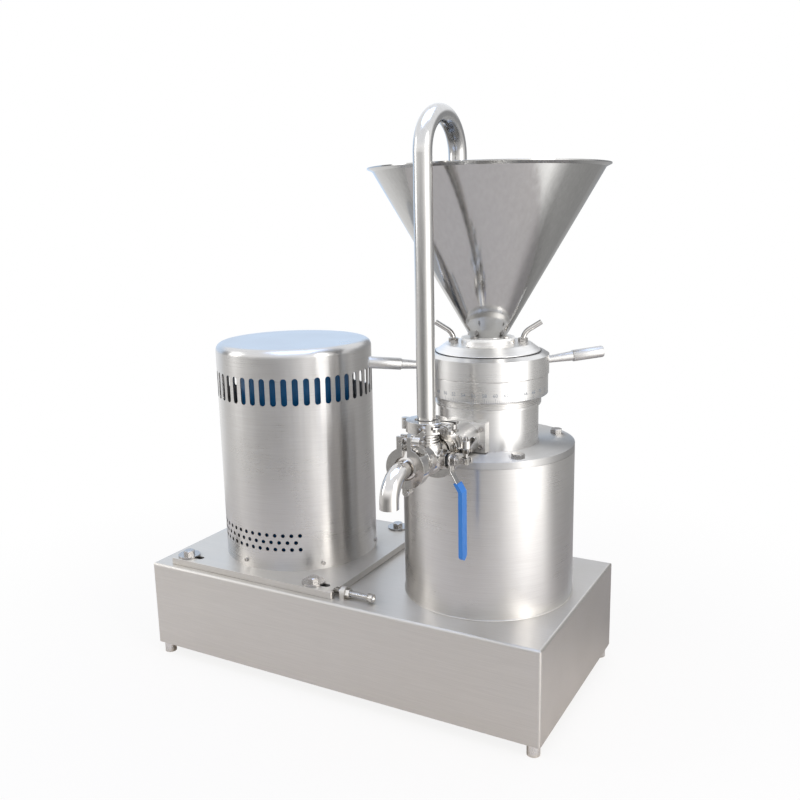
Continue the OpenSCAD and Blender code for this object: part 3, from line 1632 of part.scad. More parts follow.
// The opening for the swing bolt in a closure lug, or the fork for its eye and pin.
module swing_slot(kind) {
  translate([-lug_slot / 2, 0, -lug_slot / 2]) cube([lug_h, lug_gap + 2 * lug_t, lug_slot]);
  if (kind < 0) {
    translate([-eye_d / 2 - run_gap, 0, -lug_slot / 2]) cube([lug_h, lug_gap + 2 * lug_t, lug_slot]);
    translate([0, pivot_in, -clamp_w]) cylinder(d = pin_d + 2 * fit_gap, h = 2 * clamp_w);
  }
}

module outlet_clamp() {
  at_outlet_clamp() clamp(wide_ferrule_d, wide_tube_d, wide_clamp_r);
}

module spout_clamp() {
  at_spout_clamp() clamp(ferrule_d, pipe_d + 4, clamp_r);
}

module return_clamp() {
  at_return_clamp() clamp(ferrule_d, pipe_d + 4, clamp_r);
}

// A clamp's hinge pin, its swing bolt and the bolt's own pin.
module clamp_pin_set(r) {
  translate([-r - knuckle_out, 0, -clamp_w / 2]) cylinder(d = pin_d, h = clamp_w);
  translate([r + swing_out, 0, 0]) {
    translate([0, -pivot_in, -clamp_w / 2]) cylinder(d = pin_d, h = clamp_w);
    difference() {
      union() {
        translate([0, -pivot_in, -swing_d / 2]) cylinder(d = eye_d, h = swing_d);
        translate([0, -pivot_in, 0]) rotate([-90, 0, 0]) cylinder(d = swing_d, h = pivot_in + swing_tail);
      }
      translate([0, -pivot_in, -clamp_w]) cylinder(d = pin_d + 2 * fit_gap, h = 2 * clamp_w);
    }
  }
}

module clamp_pins() {
  color("#d8d8d8") {
    at_outlet_clamp() clamp_pin_set(wide_clamp_r);
    at_spout_clamp() clamp_pin_set(clamp_r);
    at_return_clamp() clamp_pin_set(clamp_r);
  }
}

// A wing nut on a swing bolt: a round hub and two rising wings.
module wing_nut(r) {
  seat_y = lug_gap / 2 + lug_t + fit_gap;
  color("#d8d6d2") translate([r + swing_out, seat_y, 0]) rotate([-90, 0, 0]) difference() {
    union() {
      cylinder(d = nut_hub_d, h = nut_hub_h);
      translate([0, nut_wing_t / 2, 0]) rotate([90, 0, 0]) linear_extrude(nut_wing_t) wing_outline();
    }
    bore(swing_d + 2 * run_gap, 0, nut_hub_h + nut_wing_rise);
    translate([0, 0, nut_hub_h]) cylinder(d = nut_hub_d, h = 2 * nut_wing_rise);
  }
}

// Both wings of a nut, seen from the side.
module wing_outline() {
  tip_r = 4;
  tip_x = nut_wing_r - tip_r;
  tip_z = nut_hub_h + nut_wing_rise - tip_r;
  for (side = [0, 1])
    mirror([side, 0]) {
      polygon([
        [0, tip_r / 2], [nut_hub_d / 2, tip_r / 2], [nut_wing_r, tip_z],
        [tip_x, tip_z + tip_r], [0, nut_hub_h]
      ]);
      translate([tip_x, tip_z]) circle(tip_r);
    }
}

module outlet_wing_nut() {
  at_outlet_clamp() wing_nut(wide_clamp_r);
}

module spout_wing_nut() {
  at_spout_clamp() wing_nut(clamp_r);
}

module return_wing_nut() {
  at_return_clamp() wing_nut(clamp_r);
}

// The soft rings between the ferrules.
module clamp_gaskets() {
  color("#e8e6e0") {
    at_outlet_clamp() gasket(wide_ferrule_d, wide_tube_d - 2 * tube_wall);
    at_spout_clamp() gasket(ferrule_d, valve_bore);
    at_return_clamp() gasket(ferrule_d, valve_bore);
  }
}

module gasket(face_d, bore_d) {
  translate([0, 0, -gasket_t / 2]) tube(face_d, bore_d, gasket_t);
}

base_shell();
base_feet();
motor_plate();
motor_plate_bolts();
jack_screws();
jack_nuts();
motor_cover();
cover_screws();
motor_frame();
motor_end_shields();
motor_flange_bolts();
motor_bearings();
motor_stator();
motor_rotor();
motor_fan();
motor_fan_cowl();
motor_pulley();
drive_belts();
mill_pulley();
pulley_nut();
main_shaft();
bearing_housing();
mill_bearings();
bearing_inner_rings();
mill_drum();
drum_lid();
lid_bolts();
neck_casing();
seal_seat();
seal_head();
rotor();
rotor_nut();
stator_ring();
stator_screws();
top_cover();
scale_ring();
handle_ring();
handle_left();
handle_right();
water_nipples();
hopper();
hopper_bolts();
outlet_block();
outlet_screws();
valve_body();
valve_ball();
valve_stem();
valve_lever();
lever_sleeve();
lever_nut();
spout();
return_pipe();
outlet_clamp();
spout_clamp();
return_clamp();
clamp_pins();
outlet_wing_nut();
spout_wing_nut();
return_wing_nut();
clamp_gaskets();
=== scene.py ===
import bmesh
import bpy
import json
import math
from mathutils import Matrix, Vector

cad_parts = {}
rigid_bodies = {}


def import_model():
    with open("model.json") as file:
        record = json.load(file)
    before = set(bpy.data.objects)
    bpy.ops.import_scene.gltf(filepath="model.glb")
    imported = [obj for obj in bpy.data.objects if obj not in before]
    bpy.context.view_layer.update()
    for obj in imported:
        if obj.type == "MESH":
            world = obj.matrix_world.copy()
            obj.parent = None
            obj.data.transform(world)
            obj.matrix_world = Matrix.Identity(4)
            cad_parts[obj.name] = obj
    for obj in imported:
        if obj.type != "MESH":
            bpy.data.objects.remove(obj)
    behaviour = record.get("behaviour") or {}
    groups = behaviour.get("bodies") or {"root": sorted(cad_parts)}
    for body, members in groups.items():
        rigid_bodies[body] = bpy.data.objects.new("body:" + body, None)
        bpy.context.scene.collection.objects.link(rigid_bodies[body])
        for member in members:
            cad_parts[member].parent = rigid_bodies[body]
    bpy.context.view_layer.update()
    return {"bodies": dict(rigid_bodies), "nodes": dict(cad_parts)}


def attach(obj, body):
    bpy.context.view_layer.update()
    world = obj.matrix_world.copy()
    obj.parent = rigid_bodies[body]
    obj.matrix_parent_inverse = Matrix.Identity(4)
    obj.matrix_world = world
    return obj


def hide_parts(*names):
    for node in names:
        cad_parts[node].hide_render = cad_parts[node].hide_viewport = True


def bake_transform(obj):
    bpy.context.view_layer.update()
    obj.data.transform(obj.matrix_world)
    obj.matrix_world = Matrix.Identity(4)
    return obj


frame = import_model()
mm = 0.001
millAxis = 228  # x of the mill's axis, mm
millX = millAxis * mm
print("frame loaded")


# camera at the photograph's view, for a square picture
cameraValues = {
    "place": (822.05, -1376.95, 848.73),  # mm
    "right": (0.87523, 0.48326, -0.02094),
    "up": (-0.08244, 0.19169, 0.97799),
    "forward": (-0.47663, 0.85423, -0.20761),
    "lens": 39.71,
    "sensor": 36,
    "reach": 50,  # m
}


def placeCamera(values):
    data = bpy.data.cameras.new("photoCamera")
    data.lens = values["lens"]
    data.sensor_width = values["sensor"]
    data.clip_end = values["reach"]
    camera = bpy.data.objects.new("photoCamera", data)
    axes = [Vector(values["right"]), Vector(values["up"]), -Vector(values["forward"])]
    turn = Matrix([axis.normalized() for axis in axes]).transposed()
    camera.matrix_world = Matrix.Translation(Vector(values["place"]) * mm) @ turn.to_4x4()
    bpy.context.scene.collection.objects.link(camera)
    bpy.context.scene.camera = camera


placeCamera(cameraValues)
bpy.context.scene.view_settings.view_transform = "Standard"
print("camera placed")


# small tools for materials
def linear(code):
    parts = [int(code[i:i + 2], 16) / 255 for i in (1, 3, 5)]
    steps = [c / 12.92 if c <= 0.04045 else ((c + 0.055) / 1.055) ** 2.4 for c in parts]
    return (*steps, 1)


# adds a node with its settings and links; a Mix node's sockets 2 and 3 are numbers, 6 and 7 colours
def addNode(tree, kind, wires=None, **settings):
    node = tree.nodes.new(kind)
    for key, value in settings.items():
        setattr(node, key, value)
    for key, value in (wires or {}).items():
        if isinstance(value, bpy.types.NodeSocket):
            tree.links.new(value, node.inputs[key])
        else:
            node.inputs[key].default_value = value
    return node


def newMaterial(name):
    material = bpy.data.materials.new(name)
    material.use_nodes = True
    tree = material.node_tree
    tree.nodes.clear()
    shader = addNode(tree, "ShaderNodeBsdfPrincipled")
    addNode(tree, "ShaderNodeOutputMaterial", {"Surface": shader.outputs[0]})
    return material, tree, shader


# studio: white round about for the eye and for the metal, softer for the fill
studioValues = {
    "fill": 0.62,
    "floor": "#F4EADF",
    "floorRough": 0.85,
    "floorShine": 0.1,
    "floorWhite": (0.86, 1.0),  # share of plain white that the eye sees on the floor, near and far
    "floorFade": (0.45, 1.3),  # m from the middle
    "floorSize": 30,
    # radius and height of the tent's outline, m
    "tent": [(1.15, 0.003), (2.4, 0.02), (3.4, 0.5), (3.6, 2.6), (2.4, 3.7), (0.4, 4.1)],
    "tentSteps": 96,
    "tentPeak": 3,  # the cards' levels are held as shares of this one
    "tentHigh": (0.10, 0.17),  # height over distance where the upper tone begins and takes over
    "tentUpper": ("#CFE2FA", 1.28),  # behind the object
    "tentAhead": ("#F6F7F9", 1.7),  # over the camera
    "tentAheadHigh": (0.09, 0.60),
    "tentWay": (0.51, -0.86, 0.0),  # from the object to the camera
    "tentWayTurn": (-0.3, 0.2),  # cosine to that way between the back's tones and the front's
    "tentTop": ("#F3F6FB", 1.35),  # overhead, all round
    "tentTopHigh": (0.46, 0.70),
    "tentSide": ("#E4E6EA", 0.5),  # the upper tone at the right of the back
    "tentSideTurn": (106, 116),  # degrees from +X between the side's tone and the back's
    # m from the middle where the cards start and reach full level, and their share of it before
    "tentNear": (1.0, 1.5, 0.6),
    # y in m where the floor that the metal sees starts to darken and stops, and its share of the tone there
    "floorShade": (0.0, 0.4, 0.55),
}


def makeWorld(values):
    world = bpy.data.worlds.new("studioWorld")
    bpy.context.scene.world = world
    world.use_nodes = True
    tree = world.node_tree
    tree.nodes.clear()
    ray = addNode(tree, "ShaderNodeLightPath")
    seen = addNode(tree, "ShaderNodeMath", {0: ray.outputs["Is Camera Ray"],
                                            1: ray.outputs["Is Glossy Ray"]}, operation="MAXIMUM")
    seen = addNode(tree, "ShaderNodeMath", {0: seen.outputs[0],
                                            1: ray.outputs["Is Transmission Ray"]}, operation="MAXIMUM")
    level = addNode(tree, "ShaderNodeMapRange", {"Value": seen.outputs[0],
                                                 "To Min": values["fill"], "To Max": 1.0})
    back = addNode(tree, "ShaderNodeBackground", {"Color": (1, 1, 1, 1), "Strength": level.outputs[0]})
    addNode(tree, "ShaderNodeOutputWorld", {"Surface": back.outputs[0]})


def makeFloor(values):
    bm = bmesh.new()
    bmesh.ops.create_grid(bm, x_segments=1, y_segments=1, size=values["floorSize"] / 2)
    mesh = bpy.data.meshes.new("floor")
    bm.to_mesh(mesh)
    bm.free()
    floor = bpy.data.objects.new("floor", mesh)
    bpy.context.scene.collection.objects.link(floor)
    material, tree, shader = newMaterial("palePaintedFloor")
    shader.inputs["Roughness"].default_value = values["floorRough"]
    shader.inputs["Specular IOR Level"].default_value = values["floorShine"]
    ray = addNode(tree, "ShaderNodeLightPath")
    place = addNode(tree, "ShaderNodeTexCoord")
    axes = addNode(tree, "ShaderNodeSeparateXYZ", {0: place.outputs["Object"]})
    start, end, dark = values["floorShade"]
    back = addNode(tree, "ShaderNodeMapRange", {"Value": axes.outputs[1], "From Min": start,
                                                "From Max": end}, interpolation_type="SMOOTHSTEP")
    shade = addNode(tree, "ShaderNodeMath", {0: back.outputs[0], 1: ray.outputs["Is Glossy Ray"]},
                    operation="MULTIPLY")
    pale = linear(values["floor"])
    tone = addNode(tree, "ShaderNodeMix", {"Factor": shade.outputs[0], 6: pale,
                                           7: [part * dark for part in pale[:3]] + [1]}, data_type="RGBA")
    tree.links.new(tone.outputs[2], shader.inputs["Base Color"])
    out = addNode(tree, "ShaderNodeVectorMath", {0: place.outputs["Object"]}, operation="LENGTH")
    near, far = values["floorWhite"]
    start, end = values["floorFade"]
    fade = addNode(tree, "ShaderNodeMapRange", {"Value": out.outputs["Value"], "From Min": start,
                                                "From Max": end, "To Min": near, "To Max": far},
                   interpolation_type="SMOOTHSTEP")
    share = addNode(tree, "ShaderNodeMath", {0: ray.outputs["Is Camera Ray"], 1: fade.outputs[0]},
                    operation="MULTIPLY")
    white = addNode(tree, "ShaderNodeEmission", {"Color": (1, 1, 1, 1), "Strength": 1.0})
    both = addNode(tree, "ShaderNodeMixShader", {0: share.outputs[0], 1: shader.outputs[0],
                                                 2: white.outputs[0]})
    tree.links.new(both.outputs[0], tree.nodes["Material Output"].inputs["Surface"])
    mesh.materials.append(material)


# grey and white cards stand round the object in a ring and show only in the metal
tentTones = [  # angle from +X in degrees, level
    (-180, 0.90), (-150, 0.88), (-128, 0.70), (-112, 0.43), (-84, 0.34), (-66, 0.52), (-48, 0.95),
    (-34, 1.9), (-10, 2.5), (3, 2.4), (12, 1.2), (22, 0.60), (44, 0.50), (70, 0.42), (100, 0.50), (118, 0.90),
    (158, 1.10), (180, 0.90),
]


def cardFinish(values, tones):
    material = bpy.data.materials.new("studioCards")
    material.use_nodes = True
    tree = material.node_tree
    tree.nodes.clear()
    peak = values["tentPeak"]
    place = addNode(tree, "ShaderNodeTexCoord")
    axes = addNode(tree, "ShaderNodeSeparateXYZ", {0: place.outputs["Object"]})
    angle = addNode(tree, "ShaderNodeMath", {0: axes.outputs[1], 1: axes.outputs[0]}, operation="ARCTAN2")
    # the cards by their angle round the object
    turn = addNode(tree, "ShaderNodeMapRange", {"Value": angle.outputs[0], "From Min": -math.pi,
                                                "From Max": math.pi})
    ramp = addNode(tree, "ShaderNodeValToRGB", {0: turn.outputs[0]})
    stops = ramp.color_ramp.elements
    while len(stops) > 1:
        stops.remove(stops[0])
    for index, (degrees, level) in enumerate(tones):
        at = (degrees + 180) / 360
        stop = stops[0] if index == 0 else stops.new(at)
        stop.position = at
        stop.color = (level / peak, level / peak, level / peak, 1)
    flat = addNode(tree, "ShaderNodeVectorMath", {0: place.outputs["Object"], 1: (1, 1, 0)},
                   operation="MULTIPLY")
    far = addNode(tree, "ShaderNodeVectorMath", {0: flat.outputs[0]}, operation="LENGTH")
    start, end, less = values["tentNear"]
    near = addNode(tree, "ShaderNodeMapRange", {"Value": far.outputs["Value"], "From Min": start,
                                                "From Max": end, "To Min": peak * less, "To Max": peak},
                   interpolation_type="SMOOTHSTEP")
    lower = addNode(tree, "ShaderNodeVectorMath", {0: ramp.outputs[0], "Scale": near.outputs[0]},
                    operation="SCALE")
    # how far the place is to the camera's side, and how high it stands for its distance
    unit = addNode(tree, "ShaderNodeVectorMath", {0: flat.outputs[0]}, operation="NORMALIZE")
    facing = addNode(tree, "ShaderNodeVectorMath", {0: unit.outputs[0], 1: values["tentWay"]},
                     operation="DOT_PRODUCT")
    start, end = values["tentWayTurn"]
    ahead = addNode(tree, "ShaderNodeMapRange", {"Value": facing.outputs["Value"], "From Min": start,
                                                 "From Max": end}, interpolation_type="SMOOTHSTEP")
    slope = addNode(tree, "ShaderNodeMath", {0: axes.outputs[2], 1: far.outputs["Value"]},
                    operation="DIVIDE")
    rises = {}
    for key in ("tentHigh", "tentAheadHigh", "tentTopHigh"):
        start, end = values[key]
        rises[key] = addNode(tree, "ShaderNodeMapRange", {"Value": slope.outputs[0], "From Min": start,
                                                          "From Max": end}, interpolation_type="SMOOTHSTEP")
    upper = addNode(tree, "ShaderNodeMix", {"Factor": ahead.outputs[0], 2: rises["tentHigh"].outputs[0],
                                            3: rises["tentAheadHigh"].outputs[0]})
    # the upper tones: side, back, front and overhead
    cards = {}
    for key in ("tentUpper", "tentAhead", "tentSide", "tentTop"):
        code, strength = values[key]
        cards[key] = (*[part * strength for part in linear(code)[:3]], 1)
    start, end = [math.radians(a) for a in values["tentSideTurn"]]
    turned = addNode(tree, "ShaderNodeMapRange", {"Value": angle.outputs[0], "From Min": start,
                                                  "From Max": end}, interpolation_type="SMOOTHSTEP")
    behind = addNode(tree, "ShaderNodeMix", {"Factor": turned.outputs[0], 6: cards["tentSide"],
                                             7: cards["tentUpper"]}, data_type="RGBA", clamp_result=False)
    high = addNode(tree, "ShaderNodeMix", {"Factor": ahead.outputs[0], 6: behind.outputs[2],
                                           7: cards["tentAhead"]}, data_type="RGBA", clamp_result=False)
    tone = addNode(tree, "ShaderNodeMix", {"Factor": upper.outputs[0], 6: lower.outputs[0],
                                           7: high.outputs[2]}, data_type="RGBA", clamp_result=False)
    topped = addNode(tree, "ShaderNodeMix", {"Factor": rises["tentTopHigh"].outputs[0], 6: tone.outputs[2],
                                             7: cards["tentTop"]}, data_type="RGBA", clamp_result=False)
    glow = addNode(tree, "ShaderNodeEmission", {"Color": topped.outputs[2], "Strength": 1.0})
    addNode(tree, "ShaderNodeOutputMaterial", {"Surface": glow.outputs[0]})
    return material


def makeTent(values, tones):
    bm = bmesh.new()
    rings = [bm.verts.new((radius, 0, height)) for radius, height in values["tent"]]
    for low, high in zip(rings, rings[1:]):
        bm.edges.new((low, high))
    bmesh.ops.spin(bm, geom=bm.verts[:] + bm.edges[:], cent=(0, 0, 0), axis=(0, 0, 1),
                   angle=2 * math.pi, steps=values["tentSteps"], use_merge=True)
    mesh = bpy.data.meshes.new("reflectionTent")
    bm.to_mesh(mesh)
    bm.free()
    mesh.materials.append(cardFinish(values, tones))
    tent = bpy.data.objects.new("reflectionTent", mesh)
    bpy.context.scene.collection.objects.link(tent)
    tent.visible_camera = False
    tent.visible_diffuse = False
    tent.visible_shadow = False
    tent.visible_transmission = False


# soft boxes: place and aim in metres, width and height, power in watts
lampValues = {
    "keyBox": {"place": (3.0, -0.9, 1.5), "aim": (0.1, 0, 0.4), "size": (1.1, 1.9), "power": 32,
               "colour": "#FFFFFF"},
    "topBox": {"place": (0.2, -0.2, 3.0), "aim": (0, 0, 0.4), "size": (2.2, 1.6), "power": 40,
               "colour": "#A6C6FF"},
    "leftBox": {"place": (-2.6, -1.4, 1.5), "aim": (0, 0, 0.4), "size": (1.0, 1.6), "power": 14,
                "colour": "#FFFFFF"},
}


def makeLamps(lamps):
    for name, values in lamps.items():
        data = bpy.data.lights.new(name, "AREA")
        data.shape = "RECTANGLE"
        data.size, data.size_y = values["size"]
        data.energy = values["power"]
        data.color = linear(values["colour"])[:3]
        lamp = bpy.data.objects.new(name, data)
        way = Vector(values["aim"]) - Vector(values["place"])
        turn = way.to_track_quat("-Z", "Y").to_matrix().to_4x4()
        lamp.matrix_world = Matrix.Translation(values["place"]) @ turn
        bpy.context.scene.collection.objects.link(lamp)


makeWorld(studioValues)
makeFloor(studioValues)
makeTent(studioValues, tentTones)
makeLamps(lampValues)
print("studio lit")


# steel finishes: grain is the length of a streak along x, y and z in mm, or along the radius, the turn and z
steelValues = {
    # rolled stainless sheet, belt-ground round the shell: mirror-like sideways, smeared up and down
    "rolledStainless": {"colour": "#CBC9C6", "shade": "#C2BFBC", "rough": (0.28, 0.32),
                        "grain": (60, 60, 0.9), "bump": 0.0015, "smear": 0.82, "lie": "upright", "edge": 0},
    # folded stainless sheet, ground along its length
    "foldedStainless": {"colour": "#CECAC4", "shade": "#C4C0BA", "rough": (0.40, 0.47),
                        "grain": (70, 0.9, 0.9), "bump": 0.05, "smear": 0.7, "lie": "length", "edge": 0.2},
    # stainless turned on a lathe: fine rings about the mill's axis
    "turnedStainless": {"colour": "#DCDAD7", "shade": "#D5D3D0", "rough": (0.27, 0.30),
                        "grain": (0.8, 40, 0.8), "bump": 0.012, "smear": 0.75, "lie": "turned", "edge": 0},
    # stainless disc faced on a lathe: rings that throw the light into fans
    "facedStainless": {"colour": "#C8C6C3", "shade": "#BCBAB7", "rough": (0.44, 0.52),
                       "grain": (0.8, 40, 0.8), "bump": 0.05, "smear": 0.93, "lie": "turned", "edge": 0},
    # stainless cover buffed to a soft even shine; its colour is painted paler than steel, as painted light
    # that brightens the whole cover
    "satinPaintedLightStainless": {"colour": "#EEECE9", "shade": "#E2E0DD", "rough": (0.30, 0.37),
                        "grain": (0.8, 40, 0.8), "bump": 0.03, "smear": 0.0, "lie": "turned", "edge": 0},
    # stainless block faced on a mill, with fine level marks
    "milledStainless": {"colour": "#DEDCD9", "shade": "#D3D1CE", "rough": (0.38, 0.46),
                        "grain": (40, 40, 0.8), "bump": 0.05, "smear": 0.0, "lie": "length", "edge": 0.5},
    # spun stainless cone, polished up its slope; below the given height its flange is rougher, with its
    # colour painted near white, paler than steel, as a painted highlight
    "spunStainless": {"colour": "#B3B2B0", "shade": "#ACABA9", "rough": (0.09, 0.15),
                      "grain": (6, 6, 60), "bump": 0.012, "smear": 0.0, "lie": "length", "edge": 0.4,
                      "flange": {"top": 639.4, "colour": "#F0EFED", "rough": 0.7}},
    # drawn stainless tube, satin along its length
    "drawnStainless": {"colour": "#C8C6C3", "shade": "#BFBDBA", "rough": (0.17, 0.24),
                       "grain": (5, 5, 60), "bump": 0.012, "smear": 0.0, "lie": "length", "edge": 0.4},
    # bead-blasted stainless grips, pale and even
    "blastedStainless": {"colour": "#C6C4C1", "shade": "#BAB8B5", "rough": (0.36, 0.46),
                         "grain": (0.7, 0.7, 0.7), "bump": 0.05, "smear": 0.0, "lie": "length", "edge": 0.5},
    # stainless polished to a near mirror, with faint hazy patches
    "polishedStainless": {"colour": "#CDCAC6", "shade": "#C6C2BE", "rough": (0.07, 0.12),
                          "grain": (14, 14, 22), "bump": 0.012, "smear": 0.0, "lie": "length", "edge": 0.4},
    # investment casting, tumbled and electropolished: bright with a soft ripple
    "castStainless": {"colour": "#CFCCC8", "shade": "#C2BFBB", "rough": (0.10, 0.17),
                      "grain": (5, 5, 5), "bump": 0.10, "smear": 0.0, "lie": "length", "edge": 0.8},
    # plain stainless fasteners, cold-headed
    "headedStainless": {"colour": "#BAB7B4", "shade": "#A8A5A2", "rough": (0.22, 0.31),
                        "grain": (2, 2, 2), "bump": 0.05, "smear": 0.0, "lie": "length", "edge": 0.5},
    # ground carbon steel of the shafts and bearings
    "groundSteel": {"colour": "#B4B4B6", "shade": "#9FA0A3", "rough": (0.22, 0.34),
                    "grain": (0.8, 40, 0.8), "bump": 0.06, "smear": 0.4, "lie": "turned", "edge": 0.4},
}


# how the streaks and the haze act on every steel: spread of the noise, sizes in mm
streakValues = {"spread": (0.3, 0.7), "haze": 90, "hazeSpread": (0.35, 0.75), "hazeRough": (0.92, 1.12),
                "depth": 0.4, "edgeSamples": 4}
# way in which a ground sheet smears its reflections
smearWays = {"upright": (0.02, 0.01, 1.0), "length": (0.01, 0.3, 1.0)}


# a place measured from the mill's axis, and the same laid flat
def axisPlace(tree):
    place = addNode(tree, "ShaderNodeTexCoord")
    out = addNode(tree, "ShaderNodeVectorMath", {0: place.outputs["Object"], 1: (millX, 0, 0)},
                  operation="SUBTRACT")
    flat = addNode(tree, "ShaderNodeVectorMath", {0: out.outputs[0], 1: (1, 1, 0)}, operation="MULTIPLY")
    return out.outputs[0], flat.outputs[0]


def streakPlace(tree, values):
    scale = [1 / (length * mm) for length in values["grain"]]
    if values["lie"] != "turned":
        place = addNode(tree, "ShaderNodeTexCoord")
        return addNode(tree, "ShaderNodeMapping", {"Vector": place.outputs["Object"], "Scale": scale})
    out, flat = axisPlace(tree)
    axes = addNode(tree, "ShaderNodeSeparateXYZ", {0: out})
    radius = addNode(tree, "ShaderNodeVectorMath", {0: flat}, operation="LENGTH")
    turned = addNode(tree, "ShaderNodeCombineXYZ", {0: radius.outputs["Value"], 2: axes.outputs[2]})
    return addNode(tree, "ShaderNodeMapping", {"Vector": turned.outputs[0], "Scale": scale})


def smearWay(tree, values):
    if values["lie"] in smearWays:
        way = addNode(tree, "ShaderNodeCombineXYZ", dict(enumerate(smearWays[values["lie"]])))
        return way.outputs[0]
    flat = axisPlace(tree)[1]
    unit = addNode(tree, "ShaderNodeVectorMath", {0: flat}, operation="NORMALIZE")
    way = addNode(tree, "ShaderNodeVectorMath", {0: unit.outputs[0], 1: (0, 0, -1)}, operation="ADD")
    return way.outputs[0]


def steelFinish(name, values):
    material, tree, shader = newMaterial(name)
    streaks = addNode(tree, "ShaderNodeTexNoise", {"Vector": streakPlace(tree, values).outputs[0],
                                                   "Scale": 1.0, "Detail": 3.0, "Roughness": 0.6})
    place = addNode(tree, "ShaderNodeTexCoord")
    haze = addNode(tree, "ShaderNodeTexNoise", {"Vector": place.outputs["Object"],
                                                "Scale": 1 / (streakValues["haze"] * mm), "Detail": 4.0})
    least, most = streakValues["spread"]
    tone = addNode(tree, "ShaderNodeMapRange", {"Value": streaks.outputs[0], "From Min": least,
                                                "From Max": most})
    colour = addNode(tree, "ShaderNodeMix", {"Factor": tone.outputs[0], 6: linear(values["shade"]),
                                             7: linear(values["colour"])}, data_type="RGBA")
    low, high = values["rough"]
    rough = addNode(tree, "ShaderNodeMapRange", {"Value": streaks.outputs[0], "From Min": least,
                                                 "From Max": most, "To Min": low, "To Max": high})
    least, most = streakValues["hazeSpread"]
    low, high = streakValues["hazeRough"]
    hazed = addNode(tree, "ShaderNodeMapRange", {"Value": haze.outputs[0], "From Min": least,
                                                 "From Max": most, "To Min": low, "To Max": high})
    both = addNode(tree, "ShaderNodeMath", {0: rough.outputs[0], 1: hazed.outputs[0]}, operation="MULTIPLY")
    skin, grip = colour.outputs[2], both.outputs[0]
    # a flange below the given height: rougher, and its near-white colour a painted highlight
    if "flange" in values:
        flange = values["flange"]
        axes = addNode(tree, "ShaderNodeSeparateXYZ", {0: place.outputs["Object"]})
        above = addNode(tree, "ShaderNodeMath", {0: axes.outputs[2], 1: flange["top"] * mm},
                        operation="GREATER_THAN")
        skin = addNode(tree, "ShaderNodeMix", {"Factor": above.outputs[0], 6: linear(flange["colour"]),
                                               7: skin}, data_type="RGBA").outputs[2]
        grip = addNode(tree, "ShaderNodeMix", {"Factor": above.outputs[0], 2: flange["rough"],
                                               3: grip}).outputs[0]
    bump = addNode(tree, "ShaderNodeBump", {"Strength": values["bump"], "Height": streaks.outputs[0],
                                            "Distance": streakValues["depth"] * mm})
    if values["edge"] > 0:
        edge = addNode(tree, "ShaderNodeBevel", {"Radius": values["edge"] * mm},
                       samples=streakValues["edgeSamples"])
        tree.links.new(edge.outputs[0], bump.inputs["Normal"])
    tree.links.new(skin, shader.inputs["Base Color"])
    tree.links.new(grip, shader.inputs["Roughness"])
    tree.links.new(bump.outputs[0], shader.inputs["Normal"])
    shader.inputs["Metallic"].default_value = 1.0
    shader.inputs["Anisotropic"].default_value = values["smear"]
    if values["smear"] > 0:
        tree.links.new(smearWay(tree, values), shader.inputs["Tangent"])
    return material


# coatings, rubbers and plastics: a base tone, a worn tone, grain size in mm
coatValues = {
    # dipped vinyl grip: soft gloss over a slight orange-peel skin
    "dippedVinyl": {"colour": "#2F7FD0", "shade": "#2A74C4",
                    "rough": (0.34, 0.46), "grain": 1.6, "bump": 0.12},
    # sprayed alkyd enamel on the motor casting
    "blueEnamel": {"colour": "#1478B8", "shade": "#0F659F",
                   "rough": (0.28, 0.42), "grain": 3.0, "bump": 0.15},
    # fabric-faced belt rubber, dusty along the flanks
    "beltRubber": {"colour": "#26262A", "shade": "#1A1A1C",
                   "rough": (0.70, 0.88), "grain": 1.2, "bump": 0.3},
    # white silicone gasket, matt from the mould
    "mouldedSilicone": {"colour": "#E6E3DC", "shade": "#DAD6CE",
                        "rough": (0.50, 0.60), "grain": 0.8, "bump": 0.05},
    # black nitrile ring and washers
    "nitrileRubber": {"colour": "#1E1F22", "shade": "#17181A",
                      "rough": (0.45, 0.60), "grain": 0.8, "bump": 0.05},
    # grey iron as cast, machined on its working faces
    "greyIron": {"colour": "#5C5F63", "shade": "#4A4D51",
                 "rough": (0.50, 0.68), "grain": 1.5, "bump": 0.35},
    # varnished copper winding
    "varnishedCopper": {"colour": "#9A5A30", "shade": "#7C4423",
                        "rough": (0.25, 0.4), "grain": 1.4, "bump": 0.4},
    # moulded polypropylene fan
    "mouldedPlastic": {"colour": "#26282B", "shade": "#1F2124",
                       "rough": (0.42, 0.52), "grain": 0.7, "bump": 0.06},
    # grey fill in the engraved lines of the scale
    "engravedFill": {"colour": "#858D97", "shade": "#757E89",
                     "rough": (0.50, 0.65), "grain": 0.6, "bump": 0.05},
    # lapped silicon carbide seal face
    "lappedCarbide": {"colour": "#3A3C40", "shade": "#303236",
                      "rough": (0.12, 0.2), "grain": 0.6, "bump": 0.02},
}


# how the grain and the wear act on every coat: spread of the noise, sizes in mm
grainValues = {"spread": (0.3, 0.7), "wear": 35, "edge": 0.5, "edgeSamples": 4, "depth": 0.3}


